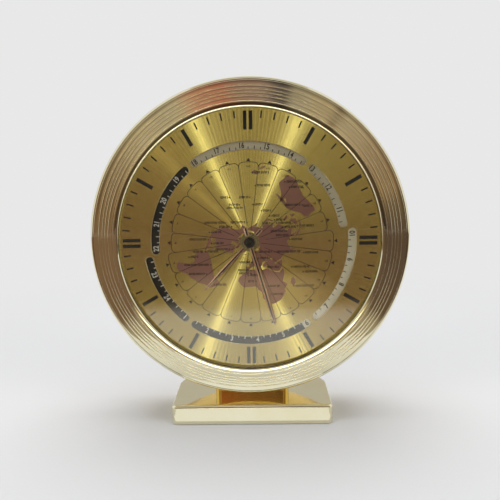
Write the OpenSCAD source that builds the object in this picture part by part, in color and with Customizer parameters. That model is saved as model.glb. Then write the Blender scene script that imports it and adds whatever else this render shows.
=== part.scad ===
// World time clock: a round brass case on a small block stand, with a battery movement,
// hour and minute hands, and a 24 hour disc seen through curved windows in the dial.
// The stand's underside is at Z = 0 and the dial faces -Y.

/* [Case] */
// Radius of the dial that shows inside the bezel
dial_open_r = 62.8; // [60:0.2:68]
// Width of the bevelled inner lip of the bezel
lip_w = 2.5; // [2:0.1:3.5]
// Bevel on the inner edge of the lip
lip_bevel = 0.5; // [0.2:0.1:0.7]
// Width of the first tier, counted outwards from the lip
tier1_w = 2.3; // [1.5:0.1:4]
// Width of the second tier
tier2_w = 1.6; // [1:0.1:3]
// Width of the third tier
tier3_w = 1.4; // [1:0.1:3]
// Width of the fourth tier
tier4_w = 1.8; // [1:0.1:3]
// Width of the fifth tier
tier5_w = 2.6; // [1.8:0.1:4]
// Width and radius of the rounded outer rim
rim_w = 1.6; // [1.2:0.1:2]
// Small drop between one tier and the next
tier_drop = 0.25; // [0.1:0.05:0.3]
// Slope of each tier, down towards the rim
tier_slope = 8; // [4:0.5:9]
// Length of the bezel skirt behind the dial
skirt_l = 6; // [4:0.5:7]
// Wall of the bezel skirt
skirt_w = 2.55; // [2.2:0.05:3.2]
// Wall of the drum shell
drum_wall = 1.6; // [1.2:0.1:2]
// Depth of the drum behind the dial
drum_l = 30.4; // [30.4:0.2:36]
// Width of the ledges inside the drum
ledge_w = 6; // [4:0.5:7]
// Thickness of the ledges inside the drum
ledge_t = 1.8; // [1.4:0.1:2]

/* [Glass] */
// Thickness of the flat glass
glass_t = 1.2; // [1:0.1:1.6]
// Clear height from the dial to the glass
glass_gap = 3.6; // [3.5:0.1:4.2]
// Overlap of the glass under the bezel lip
glass_lap = 3.2; // [2.6:0.1:3.6]
// Thickness of the gasket under the glass
gasket_t = 0.4; // [0.3:0.1:0.6]
// Height of the bezel lip above the glass
lip_t = 0.8; // [0.8:0.1:1.2]

/* [Dial] */
// Thickness of the dial plate
dial_t = 1; // [0.8:0.1:1.4]
// Length of the hour bars
bar_l = 8.6; // [6:0.2:8.8]
// Width of a single hour bar
bar_w = 1.7; // [1.2:0.1:2.4]
// Width of each bar in the double marks
twin_bar_w = 1.6; // [1.2:0.1:2]
// Space between the two bars of a double mark
twin_gap = 1.15; // [0.8:0.05:1.6]
// Height of the hour bars above the dial
bar_t = 0.15; // [0.1:0.05:0.3]
// Space between the hour bars and the bezel lip
bar_edge = 1.3; // [1:0.1:2]
// Width of the curved windows
window_w = 3.84; // [3.2:0.1:4.2]
// Centre radius of the inner windows
window_in_r = 45.72; // [44:0.2:46]
// Radial step from the inner windows to the outer ones
window_step = 3.88; // [3.6:0.1:4]
// Bridge of dial plate left between two windows on one track
bridge_w = 2.2; // [1.6:0.1:3]
// Bridge left where the windows step from one track to the other
step_bridge_w = 0.7; // [0.5:0.1:1.4]
// Height of the spacers between the dial and the carrier plate
spacer_l = 5.2; // [5:0.1:6]
// Radius of the spacers
spacer_r = 2.2; // [1.8:0.1:2.6]

/* [Stand] */
// Width of the base block
base_w = 80; // [70:1:96]
// Depth of the base block
base_d = 44; // [42:1:54]
// Height of the base block with its pad
base_h = 10; // [9:0.5:14]
// Radius of the front corners
base_front_r = 2.5; // [2:0.5:6]
// Radius of the rear corners
base_rear_r = 14.5; // [8:0.5:18]
// Radius of the top edge
base_edge_r = 1.5; // [1:0.1:2]
// Thickness of the felt pad
pad_t = 1.2; // [1:0.1:1.6]
// Depth of the pad's recess in the base
pad_recess = 0.9; // [0.6:0.1:0.9]
// Distance from the pad to the edge of the base
pad_edge = 3; // [2:0.5:6]
// Distance from the front of the base back to the dial plane
base_lead = 9; // [7:0.5:12]
// Space between the base and the bezel above it
case_lift = 3.9; // [3:0.1:8]
// Width of the neck
neck_w = 37.5; // [30:0.5:44]
// Depth of the neck
neck_d = 25.4; // [22:0.2:26]
// Distance from the dial plane back to the neck
neck_lead = 1.6; // [1:0.1:3]
// Corner radius of the neck
neck_r = 3; // [1:0.5:5]

/* [Time shown at rest] */
// Hour that the hands show
hour_now = 7; // [0:1:11]
// Minute that the hands show
minute_now = 27.3; // [0:0.1:59.9]

/* [Hands] */
// Length of the hour hand from the centre to its tip
hour_hand_l = 32.6; // [24:0.2:36]
// Width of the hour hand at its widest
hour_hand_w = 1.9; // [1.4:0.1:2.6]
// Length of the hour hand's tail
hour_tail_l = 8; // [6:0.2:10]
// Length of the minute hand from the centre to its tip
minute_hand_l = 42.9; // [36:0.2:46]
// Width of the minute hand at its widest
minute_hand_w = 2.3; // [1.6:0.1:3]
// Length of the minute hand's tail
minute_tail_l = 7.2; // [6:0.2:10]
// Thickness of each hand
hand_t = 0.4; // [0.3:0.05:0.5]
// Space between the dial and the hour hand, and between the hands
hand_gap = 0.6; // [0.5:0.05:0.7]
// Radius of the hour hand's round hub
hour_hub_r = 4.6; // [3.6:0.1:5]
// Radius of the minute hand's round hub
minute_hub_r = 3.4; // [3:0.1:4]
// Radius of the domed cap over the hands
cap_r = 2.55; // [2:0.05:3]
// Height of the domed cap
cap_h = 1; // [0.8:0.05:1.1]

/* [World disc drive] */
// Radius of the 24 hour disc
disc_r = 53.5; // [53:0.1:55]
// Thickness of the 24 hour disc
disc_t = 0.8; // [0.6:0.1:1]
// Space between the dial and the disc
disc_gap = 0.6; // [0.5:0.05:0.8]
// Module of the world disc gears
world_m = 0.8; // [0.78:0.01:0.82]
// Thickness of the world disc gears
world_t = 1; // [0.8:0.1:1.2]

/* [Movement] */
// Radius of the minute arbor
arbor_r = 1; // [0.8:0.05:1.1]
// Wall of the hour pipe
hour_pipe_w = 0.74; // [0.6:0.02:0.9]
// Wall of the 24 hour pipe
world_pipe_w = 1.14; // [1:0.02:1.3]
// Radial running clearance of each shaft in its bore
run_fit = 0.06; // [0.04:0.01:0.08]
// Radius of the small train arbors
pivot_r = 0.6; // [0.5:0.05:0.7]
// Module of the motion work gears
motion_m = 0.6; // [0.58:0.01:0.62]
// Thickness of the motion work wheels
motion_t = 1; // [0.8:0.1:1.2]
// Module of the going train gears
train_m = 0.3; // [0.29:0.005:0.31]
// Thickness of the going train wheels
train_t = 0.7; // [0.5:0.05:0.8]
// Half width of the movement housing
house_x = 29; // [29:0.5:32]
// Height of the movement housing above the centre
house_top = 23; // [23:0.5:26]
// Depth of the movement housing below the centre
house_low = 15.75; // [15.75:0.25:17]
// Wall of the movement housing
house_wall = 1.5; // [1.2:0.1:1.6]
// Thickness of the movement front plate
front_plate_t = 2; // [1.6:0.1:2.4]
// Thickness of the train plate
train_plate_t = 1; // [0.8:0.1:1.2]
// Thickness of the carrier plate
carrier_t = 1; // [0.8:0.1:1.4]

/* [Battery and back] */
// Radius of the round cell
cell_r = 7.1; // [7:0.05:7.2]
// Length of the round cell with its terminal
cell_l = 50.3; // [49.5:0.1:50.5]
// Wall of the battery tray
tray_wall = 1.5; // [1.2:0.1:1.6]
// Clearance around the cell in its tray
cell_fit = 0.4; // [0.2:0.05:0.6]
// Thickness of the back cover
cover_t = 2.4; // [2.4:0.1:3]
// Thickness of the battery door
door_t = 1.2; // [1:0.1:1.3]
// Travel of the battery door
door_travel = 16; // [12:0.5:17]
// Clearance of the battery door in its track
door_fit = 0.15; // [0.1:0.05:0.25]
// Radius of the setting knob
knob_r = 6.2; // [5:0.1:6.4]
// Height of the setting knob
knob_h = 2.6; // [2:0.1:5]
// Space between the back cover and the knob
knob_gap = 0.8; // [0.7:0.1:1.5]

/* [Hidden] */
$fn = 96;
tiny = 0.01;
fit = 0.1;
press = 0.05;
// How far cutting shapes run past what they cut
over = 1;
// End play of arbors and wheels, and the small spaces beside plates and boards
end_play = 0.2;

// Radii of the case, built outwards from the dial opening
tier_widths = [tier1_w, tier2_w, tier3_w, tier4_w, tier5_w];
tiers = len(tier_widths);
function widths_before(i) = i <= 0 ? 0 : widths_before(i - 1) + tier_widths[i - 1];
lip_r = dial_open_r;
tier0_r = lip_r + lip_w;
rim_r = tier0_r + widths_before(tiers);
case_r = rim_r + rim_w;
drum_r = case_r - skirt_w - press;
drum_in_r = drum_r - drum_wall;
ledge_r = drum_in_r - ledge_w;

// Place of the dial
dial_y = -base_d / 2 + base_lead;
dial_z = base_h + case_lift + case_r;

// Heights on the dial axis, measured from the dial's face towards the viewer
gasket_top = glass_gap;
ring_top = gasket_top - gasket_t;
glass_top = glass_gap + glass_t;
bezel_front = glass_top + lip_t;
slope = tan(tier_slope);
function tier_r(i) = tier0_r + widths_before(i);
function tier_top(i) = bezel_front - i * tier_drop - widths_before(i) * slope;
rim_z = bezel_front - (tiers - 1) * tier_drop - widths_before(tiers) * slope;
seat_step = 0.6;
rim_seat = min(rim_z - rim_w, ring_top - seat_step);
glass_r = lip_r + glass_lap;
ring_lap = 2.4;
ring_r = glass_r + ring_lap;
dial_r = drum_in_r - fit;

disc_front = -dial_t - disc_gap;
disc_back = disc_front - disc_t;
dial_back = -dial_t;
carrier_front = dial_back - spacer_l;
carrier_back = carrier_front - carrier_t;
plate_front = carrier_back;
plate_back = plate_front - front_plate_t;
ledge_front = carrier_back;

// World disc gears: hour pinion, idler wheel, idler pinion, 24 hour wheel
hour_pinion_n = 14;
idler_wheel_n = 21;
idler_pinion_n = 15;
world_wheel_n = 20;
idler_dist = world_m * (hour_pinion_n + idler_wheel_n) / 2;
idler_dir = 180;
idler_x = idler_dist * cos(idler_dir);
idler_y = idler_dist * sin(idler_dir);
disc_hub_l = 0.7;
world_gear_front = disc_back - disc_hub_l;
world_gear_back = world_gear_front - world_t;
world_collar = 0.3;
world_hub_w = 4;
idler_step = 0.5;
idler_gear_front = world_gear_back - idler_step;
idler_gear_back = idler_gear_front - world_t;
idler_post_r = 1.2;
idler_hub_w = 1.2;
carrier_margin = 1.4;
dial_hole_fit = 0.4;

// Motion work: cannon pinion, minute wheel, minute pinion, hour wheel, setting pinion
cannon_n = 10;
minute_wheel_n = 30;
minute_pinion_n = 8;
hour_wheel_n = 32;
set_pinion_n = 12;
motion_dist = motion_m * (cannon_n + minute_wheel_n) / 2;
motion_dir = 0;
motion_x = motion_dist * cos(motion_dir);
motion_y = motion_dist * sin(motion_dir);
set_dist = motion_m * (minute_wheel_n + set_pinion_n) / 2;
set_dir = -50;
set_x = motion_x + set_dist * cos(set_dir);
set_y = motion_y + set_dist * sin(set_dir);
hour_wheel_gap = 0.8;
minute_wheel_gap = 1.3;
train_plate_gap = 1.7;
hour_wheel_front = plate_back - hour_wheel_gap;
hour_wheel_back = hour_wheel_front - motion_t;
minute_wheel_front = hour_wheel_back - minute_wheel_gap;
minute_wheel_back = minute_wheel_front - motion_t;
train_plate_front = minute_wheel_back - train_plate_gap;
train_plate_back = train_plate_front - train_plate_t;
hour_pipe_in = arbor_r + run_fit;
hour_pipe_r = hour_pipe_in + hour_pipe_w;
world_pipe_in = hour_pipe_r + run_fit;
world_pipe_r = world_pipe_in + world_pipe_w;
minute_post_r = 0.9;
hour_hub_w = 0.8;
hour_pinion_hub_w = 1;
minute_hub_w = 0.5;

// Going train: wheels in four layers between the train plate and the housing floor
train_pinion_n = 8;
centre_wheel_n = 64;
third_wheel_n = 60;
fourth_wheel_n = 48;
fifth_wheel_n = 40;
layer_gap = 0.6;
first_layer_gap = 1;
last_layer_gap = 1.3;
function layer_front(i) = train_plate_back - first_layer_gap - i * (train_t + layer_gap);
floor_front = layer_front(3) - train_t - last_layer_gap;
floor_t = 1.8;
floor_back = floor_front - floor_t;
// Arbors stop this far inside the housing's floor
arbor_end = floor_back + 0.4;
pinion_reach = 0.15;
clutch_r = 2.4;
clutch_t = 0.25;
clutch_gap = 0.05;
clutch_pipe_w = 0.5;
collar_w = 0.4;
function train_dist(n) = train_m * (n + train_pinion_n) / 2;
third_dir = 155;
fourth_dir = 60;
fifth_dir = -5;
rotor_dir = -20;
third_x = train_dist(centre_wheel_n) * cos(third_dir);
third_y = train_dist(centre_wheel_n) * sin(third_dir);
fourth_x = third_x + train_dist(third_wheel_n) * cos(fourth_dir);
fourth_y = third_y + train_dist(third_wheel_n) * sin(fourth_dir);
fifth_x = fourth_x + train_dist(fourth_wheel_n) * cos(fifth_dir);
fifth_y = fourth_y + train_dist(fourth_wheel_n) * sin(fifth_dir);
rotor_x = fifth_x + train_dist(fifth_wheel_n) * cos(rotor_dir);
rotor_y = fifth_y + train_dist(fifth_wheel_n) * sin(rotor_dir);

// Hands
minute_angle = 6 * minute_now;
hour_angle = 30 * (hour_now + minute_now / 60);
hour_hand_back = hand_gap;
hour_hand_front = hour_hand_back + hand_t;
minute_hand_back = hour_hand_front + hand_gap;
minute_hand_front = minute_hand_back + hand_t;

// Hour bars and windows; angles run clockwise from 12 o'clock
bar_out_r = dial_open_r - bar_edge;
window_out_r = window_in_r + window_step;
end_step = 0.04;
windows = [
    [322.5, 397.5, window_in_r, bridge_w, bridge_w],
    [37.5, 82.5, window_in_r, bridge_w, step_bridge_w],
    [82.5, 142.5, window_out_r, step_bridge_w, bridge_w],
    [142.5, 217.5, window_out_r, bridge_w, bridge_w],
    [217.5, 262.5, window_out_r, bridge_w, step_bridge_w],
    [262.5, 322.5, window_in_r, step_bridge_w, bridge_w]
];
spacer_inset = 3;
spacer_ring_r = ledge_r - spacer_r - spacer_inset;
spacer_dirs = [30, 90, 150, 210, 270, 330];

// Back of the case
cover_front = -drum_l + cover_t;
cover_back = -drum_l;
cover_r = drum_in_r - fit;
knob_back = cover_back - knob_gap - knob_h;
knob_floor = 0.6;
rear_ledge_front = cover_front + ledge_t;
cover_screw_r = ledge_r + ledge_w / 2;
cover_screw_dirs = [45, 135, 225, 315];
cover_screw_l = rear_ledge_front - cover_back - 1.2;
cover_hole_fit = 0.5;

// Battery tray, cell and door
tray_top = -house_low;
tray_in_y = 2 * (cell_r + cell_fit);
tray_mid_y = tray_top - tray_wall - tray_in_y / 2;
tray_low = tray_mid_y - tray_in_y / 2 - tray_wall;
tray_in_x = house_x - tray_wall;
tray_front = -10.5;
tray_floor = tray_front - tray_wall;
cell_z = tray_floor - cell_r - fit;
contact_t = 0.4;
cell_nub_r = 2.75;
cell_nub_l = 1;
contact_w = 8;
contact_h = 10;
contact_nub_r = 2;
contact_nub_l = 0.4;
cell_x = tray_in_x - contact_t - contact_nub_l - fit;
tongue_w = 1;
tongue_t = 0.5;
track_floor = cover_back + door_t + door_fit;
tongue_back = track_floor - door_fit - tongue_t;
door_inset_x = 0.6;
door_inset_y = 0.5;
door_x = house_x - door_inset_x;
door_top = tray_top - door_inset_y;
door_low = tray_low + door_inset_y;
grip_half_w = 9;
grip_lines = 5;
grip_w = 0.8;
grip_pitch = 1.6;
grip_h = 0.4;
grip_inset = 3.2;

// Housing bosses, posts and screws
boss_r = 2.6;
boss_inset = 2.8;
boss_low_inset = 2.85;
boss_x = house_x - boss_inset;
boss_top_y = house_top - boss_inset;
boss_low_y = -house_low + boss_low_inset;
boss_places = [[boss_x, boss_top_y], [-boss_x, boss_top_y], [boss_x, boss_low_y], [-boss_x, boss_low_y]];
post_r = 1.5;
post_places = [[-21.5, 19.5], [21.5, 19.9], [-21.5, -12.7], [12, -12.7]];
train_plate_x = boss_x - boss_r - end_play;
plate_edge = house_wall + end_play;
screw_r = 0.8;
screw_head_r = 1.5;
screw_head_t = 0.8;
boss_screw_l = 6;
post_screw_r = 0.7;
post_screw_head_r = 1.3;
post_screw_l = 3;
hole_floor = 1;

// Electric parts
board_x = [-house_x + house_wall + end_play, -20.2];
board_y = [-9.5, 16];
board_t = 1;
board_front = floor_front + 3.7;
board_back = board_front - board_t;
board_post_x = 3.4;
board_post_y = 3;
chip_r = 2.4;
chip_t = 0.9;
chip_x = 3.6;
chip_y = 8;
magnet_r = 2.6;
magnet_front = layer_front(1) + 0.2;
magnet_back = layer_front(2) - train_t - 0.1;
stator_t = 0.8;
stator_front = layer_front(2) + 0.7;
stator_back = stator_front - stator_t;
stator_x = [6.8, 25.5];
stator_y = [4, 17];
stator_arm = 2;
stator_leg_x = 9;
stator_leg_r = 0.9;
stator_bore = 0.6;
stator_mid = (stator_front + stator_back) / 2;
can_r = 1.4;
can_l = 7;
can_y = 11;
coil_x = 22.5;
coil_r = 2.3;
bobbin_r = 1.3;
flange_t = 0.6;

// Stand
neck_front_y = dial_y + neck_lead;
neck_back_y = neck_front_y + neck_d;
neck_mid_y = (neck_front_y + neck_back_y) / 2;
base_bottom = pad_t - pad_recess;
drum_low_z = dial_z - drum_in_r;
stand_screw_r = 1.5;
stand_head_r = 3;
stand_screw_x = neck_w / 4;
stand_head_t = 2;
stand_head_seat = pad_t + 2.2;
stand_screw_end = base_h + 3.2;
case_head_r = 2.6;
case_head_t = 1.6;
case_head_seat = drum_low_z + 0.08;
case_screw_end = base_h + 1.8;
drum_screw_y = [neck_mid_y - 1.5, neck_mid_y + 8];

// Colours
brass = "gold";
steel = "silver";
moulding = "dimgray";
pale = "lightgray";

// Puts its children on the dial axis: X right, Y up, Z towards the viewer, Z = 0 on the dial
module on_dial() {
    translate([0, dial_y, dial_z]) rotate([90, 0, 0]) children();
}

// Turns its children clockwise from 12 o'clock
module at_clock(a) {
    rotate([0, 0, -a]) children();
}

// A disc or ring between two heights
module ring(r_out, r_in, z0, z1) {
    translate([0, 0, z0]) difference() {
        cylinder(r = r_out, h = z1 - z0);
        if (r_in > 0) translate([0, 0, -1]) cylinder(r = r_in, h = z1 - z0 + 2);
    }
}

module box(x, y, z) {
    translate([x[0], y[0], z[0]]) cube([x[1] - x[0], y[1] - y[0], z[1] - z[0]]);
}

// Screw with a flat round head, its shank running down from z = 0
module screw(r, head_r, head_t, l) {
    difference() {
        cylinder(r = head_r, h = head_t);
        translate([-head_r, -head_r / 8, head_t * 0.6]) cube([2 * head_r, head_r / 4, head_t]);
    }
    translate([0, 0, -l]) cylinder(r = r, h = l);
}

// Involute gear outline
pressure = 25;
addendum = 0.8;
dedendum = 1.15;
slack = 0.16;
function involute(a) = tan(a) * 180 / PI - a;
function half_tooth(n, r, base_r) =
    90 / n * (1 - slack) + involute(pressure) - involute(acos(min(1, base_r / max(r, base_r))));
function on_circle(r, a) = [r * cos(a), r * sin(a)];
function gear_points(n, m, steps) = let (
    pitch = n * m / 2,
    base_r = pitch * cos(pressure),
    top = pitch + addendum * m,
    low = pitch - dedendum * m,
    start = max(base_r, low + 0.02),
    radii = [for (k = [0:steps]) start + (top - start) * k / steps]
) [for (i = [0:n - 1]) let (c = 360 * i / n) each concat(
    [on_circle(low, c - half_tooth(n, start, base_r))],
    [for (k = [0:steps]) on_circle(radii[k], c - half_tooth(n, radii[k], base_r))],
    [for (k = [steps:-1:0]) on_circle(radii[k], c + half_tooth(n, radii[k], base_r))],
    [on_circle(low, c + half_tooth(n, start, base_r))]
)];

// A gear with one tooth centred on its local X axis, turned by phase
module gear(n, m, z0, z1, phase, steps = 2) {
    translate([0, 0, z0]) rotate([0, 0, phase]) linear_extrude(height = z1 - z0)
        polygon(gear_points(n, m, steps));
}

// Bores its children along their axis from end to end
module bored(r) {
    difference() {
        union() children();
        translate([0, 0, -drum_l]) cylinder(r = r, h = 2 * drum_l);
    }
}

// Phase of gear b that meshes with gear a, where b lies in direction dir from a
function mesh_phase(dir, a_phase, a_n, b_n) = dir + 180 - 180 / b_n + (dir - a_phase) * a_n / b_n;

cannon_phase = 0;
minute_wheel_phase = mesh_phase(motion_dir, cannon_phase, cannon_n, minute_wheel_n);
minute_pinion_phase = 0;
hour_wheel_phase = mesh_phase(motion_dir + 180, minute_pinion_phase, minute_pinion_n, hour_wheel_n);
set_pinion_phase = mesh_phase(set_dir, minute_wheel_phase, minute_wheel_n, set_pinion_n);
hour_pinion_phase = 0;
idler_wheel_phase = mesh_phase(idler_dir, hour_pinion_phase, hour_pinion_n, idler_wheel_n);
idler_pinion_phase = 0;
world_wheel_phase = mesh_phase(idler_dir + 180, idler_pinion_phase, idler_pinion_n, world_wheel_n);
centre_wheel_phase = 0;
third_pinion_phase = mesh_phase(third_dir, centre_wheel_phase, centre_wheel_n, train_pinion_n);
third_wheel_phase = 0;
fourth_pinion_phase = mesh_phase(fourth_dir, third_wheel_phase, third_wheel_n, train_pinion_n);
fourth_wheel_phase = 0;
fifth_pinion_phase = mesh_phase(fifth_dir, fourth_wheel_phase, fourth_wheel_n, train_pinion_n);
fifth_wheel_phase = 0;
rotor_pinion_phase = mesh_phase(rotor_dir, fifth_wheel_phase, fifth_wheel_n, train_pinion_n);

// One rounded corner post of the stand block, with its top edge rounded over
module base_corner(x, y, r) {
    h = base_h - base_bottom;
    edge_steps = 6;
    translate([x, y, 0]) rotate_extrude($fn = 48) polygon(concat(
        [[0, 0], [r, 0]],
        [for (k = [0:edge_steps]) let (a = 90 * k / edge_steps)
            [r - base_edge_r + base_edge_r * cos(a), h - base_edge_r + base_edge_r * sin(a)]],
        [[0, h]]
    ));
}

module base() {
    front_y = -base_d / 2 + base_front_r;
    front_x = base_w / 2 - base_front_r;
    rear_y = base_d / 2 - base_rear_r;
    rear_x = base_w / 2 - base_rear_r;
    color(brass) difference() {
        translate([0, 0, base_bottom]) hull() {
            for (s = [-1, 1]) {
                base_corner(s * front_x, front_y, base_front_r);
                base_corner(s * rear_x, rear_y, base_rear_r);
            }
        }
        translate([0, 0, -over]) linear_extrude(height = pad_t + over) pad_outline(0);
        for (s = [-1, 1]) translate([s * stand_screw_x, neck_mid_y, 0]) {
            cylinder(r = stand_screw_r + fit, h = base_h + over);
            cylinder(r = stand_head_r + fit, h = stand_head_seat);
        }
    }
}

module pad_outline(inset) {
    e = pad_edge + inset;
    r = max(base_rear_r - e, 1);
    half_w = base_w / 2 - e;
    half_d = base_d / 2 - e;
    translate([-half_w, -half_d]) square([2 * half_w, 2 * half_d - r]);
    translate([-half_w + r, 0]) square([2 * half_w - 2 * r, half_d]);
    for (s = [-1, 1]) translate([s * (half_w - r), half_d - r]) circle(r = r);
}

module base_pad() {
    color("black") linear_extrude(height = pad_t) pad_outline(fit);
}

module neck_outline() {
    half = neck_w / 2;
    translate([-half + neck_r, neck_front_y]) square([neck_w - 2 * neck_r, neck_d]);
    translate([-half, neck_front_y + neck_r]) square([neck_w, neck_d - 2 * neck_r]);
    for (s = [-1, 1]) for (y = [neck_front_y + neck_r, neck_back_y - neck_r])
        translate([s * (half - neck_r), y]) circle(r = neck_r);
}

module neck() {
    color(brass) difference() {
        translate([0, 0, base_h]) linear_extrude(height = case_lift + skirt_w + 12) neck_outline();
        on_dial() ring(drum_r + press, 0, -drum_l - 5, 10);
        on_dial() ring(case_r + press, 0, -skirt_l - 0.2, 10);
        for (s = [-1, 1]) translate([s * stand_screw_x, neck_mid_y, base_h - 1])
            cylinder(r = stand_screw_r, h = 4.5);
        for (y = drum_screw_y) translate([0, y, base_h + 1.5]) cylinder(r = stand_screw_r, h = neck_d);
    }
}

module base_screws() {
    color(steel) for (s = [-1, 1]) translate([s * stand_screw_x, neck_mid_y, stand_head_seat])
        mirror([0, 0, 1]) screw(stand_screw_r, stand_head_r, stand_head_t, stand_screw_end - stand_head_seat);
}

module case_screws() {
    color(steel) for (y = drum_screw_y) translate([0, y, case_head_seat])
        screw(stand_screw_r, case_head_r, case_head_t, case_head_seat - case_screw_end);
}

module bezel() {
    rim_steps = 8;
    color(brass) on_dial() rotate_extrude($fn = 180) polygon(concat(
        [[lip_r, glass_top], [lip_r, bezel_front - lip_bevel], [lip_r + lip_bevel, bezel_front]],
        [for (i = [0:tiers - 1]) each [
            [tier_r(i), tier_top(i)],
            [tier_r(i + 1), tier_top(i) - tier_widths[i] * slope]
        ]],
        [for (k = [1:rim_steps]) let (a = 90 - 90 * k / rim_steps)
            [rim_r + rim_w * cos(a), rim_z - rim_w + rim_w * sin(a)]],
        [[case_r, -skirt_l], [drum_r + press, -skirt_l], [drum_r + press, rim_seat]],
        [[ring_r + fit, rim_seat], [ring_r + fit, gasket_top]],
        [[glass_r + fit, gasket_top], [glass_r + fit, glass_top]]
    ));
}

module glass() {
    color("lightblue") on_dial() ring(glass_r, 0, gasket_top, glass_top);
}

module glass_gasket() {
    color("black") on_dial() ring(ring_r, lip_r + 0.6, ring_top, gasket_top);
}

module dial_ring() {
    color(pale) on_dial() ring(ring_r, lip_r, 0, ring_top);
}

// Outline of a slot with round ends, along a circle between two clock angles
module arc_slot(a0, a1, r, w, end0, end1) {
    reach = 180 / PI / r;
    from = a0 + (end0 / 2 + w / 2) * reach;
    to = a1 - (end1 / 2 + w / 2) * reach;
    intersection() {
        difference() {
            circle(r = r + w / 2);
            circle(r = r - w / 2);
        }
        polygon(concat([[0, 0]], [for (a = [from, (from + to) / 2, to]) 2 * r * [sin(a), cos(a)]]));
    }
    for (a = [from, to]) translate(r * [sin(a), cos(a)]) circle(r = w / 2 - end_step);
}

module dial() {
    color(brass) on_dial() translate([0, 0, dial_back]) linear_extrude(height = dial_t) difference() {
        circle(r = dial_r);
        circle(r = world_pipe_r + dial_hole_fit);
        for (w = windows) arc_slot(w[0], w[1], w[2], window_w, w[3], w[4]);
    }
}

module hour_bar(w) {
    translate([-w / 2, bar_out_r - bar_l, 0]) cube([w, bar_l, bar_t]);
}

module hour_bars() {
    color("black") on_dial() for (h = [0:11]) at_clock(30 * h) {
        if (h % 3 == 0) {
            for (s = [-1, 1]) translate([s * (twin_gap + twin_bar_w) / 2, 0, 0]) hour_bar(twin_bar_w);
        } else {
            hour_bar(bar_w);
        }
    }
}

module drum() {
    color(brass) on_dial() difference() {
        union() {
            ring(drum_r, drum_in_r, -drum_l, rim_seat - fit);
            ring(drum_in_r + tiny, ledge_r, ledge_front - ledge_t, ledge_front);
            ring(drum_in_r + tiny, ledge_r, cover_front, rear_ledge_front);
        }
        for (a = cover_screw_dirs) rotate([0, 0, a]) translate([cover_screw_r, 0, cover_front - over])
            cylinder(r = screw_r, h = ledge_t + 2 * over);
        for (y = drum_screw_y) translate([0, -drum_r - over, dial_y - y])
            rotate([-90, 0, 0]) cylinder(r = stand_screw_r + fit, h = drum_wall + 2 * over);
    }
}

module dial_spacers() {
    color(moulding) on_dial() for (a = spacer_dirs) at_clock(a) translate([0, spacer_ring_r, 0])
        ring(spacer_r, 0, carrier_front, dial_back);
}

module carrier_plate() {
    hole_r = idler_dist + world_m * (idler_wheel_n / 2 + addendum) + carrier_margin;
    color(steel) on_dial() difference() {
        ring(drum_in_r - fit, hole_r, carrier_back, carrier_front);
        for (p = boss_places) translate([p[0], p[1], carrier_back - over])
            cylinder(r = screw_r + fit, h = carrier_t + 2 * over);
    }
}

module back_cover() {
    track_x = door_x + door_fit;
    track_y = [door_low - door_travel - door_fit, door_top + door_fit];
    color(moulding) on_dial() difference() {
        ring(cover_r, 0, cover_back, cover_front);
        box([-track_x, track_x], track_y, [cover_back - over, track_floor]);
        box([-track_x - tongue_w, track_x + tongue_w], track_y, [tongue_back - door_fit, track_floor]);
        box([-tray_in_x, tray_in_x], [tray_low + tray_wall, tray_top - tray_wall],
            [cover_back, cover_front + over]);
        translate([0, 0, cover_back - over]) bore(set_x, set_y, arbor_r + cover_hole_fit, cover_t);
        for (a = cover_screw_dirs) rotate([0, 0, a]) translate([cover_screw_r, 0, cover_back - over]) {
            cylinder(r = screw_r + fit, h = cover_t + 2 * over);
            cylinder(r = screw_head_r + fit, h = over + screw_head_t + fit);
        }
    }
}

module cover_screws() {
    color(steel) on_dial() for (a = cover_screw_dirs) rotate([0, 0, a])
        translate([cover_screw_r, 0, cover_back + screw_head_t + fit])
            mirror([0, 0, 1]) screw(screw_r, screw_head_r, screw_head_t, cover_screw_l);
}

module battery_door() {
    color(moulding) on_dial() {
        box([-door_x, door_x], [door_low, door_top], [cover_back, track_floor - door_fit]);
        box([-door_x - tongue_w + door_fit, door_x + tongue_w - door_fit], [door_low, door_top],
            [tongue_back, track_floor - door_fit]);
        for (k = [0:grip_lines - 1]) let (top = door_top - grip_inset - grip_pitch * k)
            box([-grip_half_w, grip_half_w], [top - grip_w, top], [cover_back - grip_h, cover_back + tiny]);
    }
}

// A hole through a plate of thickness t, from one cut allowance below it
module bore(x, y, r, t) {
    translate([x, y, 0]) cylinder(r = r, h = t + 2 * over);
}

module plate_outline(x, low, top) {
    translate([-x, low]) square([2 * x, top - low]);
}

module front_plate() {
    color(moulding) on_dial() difference() {
        translate([0, 0, plate_back]) linear_extrude(height = front_plate_t)
            plate_outline(house_x, -house_low, house_top);
        translate([0, 0, plate_back - over]) {
            bore(0, 0, hour_pipe_r + run_fit, front_plate_t);
            bore(idler_x, idler_y, idler_post_r, front_plate_t);
            bore(motion_x, motion_y, minute_post_r + run_fit, front_plate_t);
            bore(set_x, set_y, arbor_r + run_fit, front_plate_t);
            for (p = boss_places) bore(p[0], p[1], screw_r + fit, front_plate_t);
        }
    }
}

// The bores that the arbors turn in, through a plate of thickness t
module arbor_bores(t) {
    bore(0, 0, arbor_r + run_fit, t);
    bore(set_x, set_y, arbor_r + run_fit, t);
    for (p = [[third_x, third_y], [fourth_x, fourth_y], [fifth_x, fifth_y], [rotor_x, rotor_y]])
        bore(p[0], p[1], pivot_r + run_fit, t);
}

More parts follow.
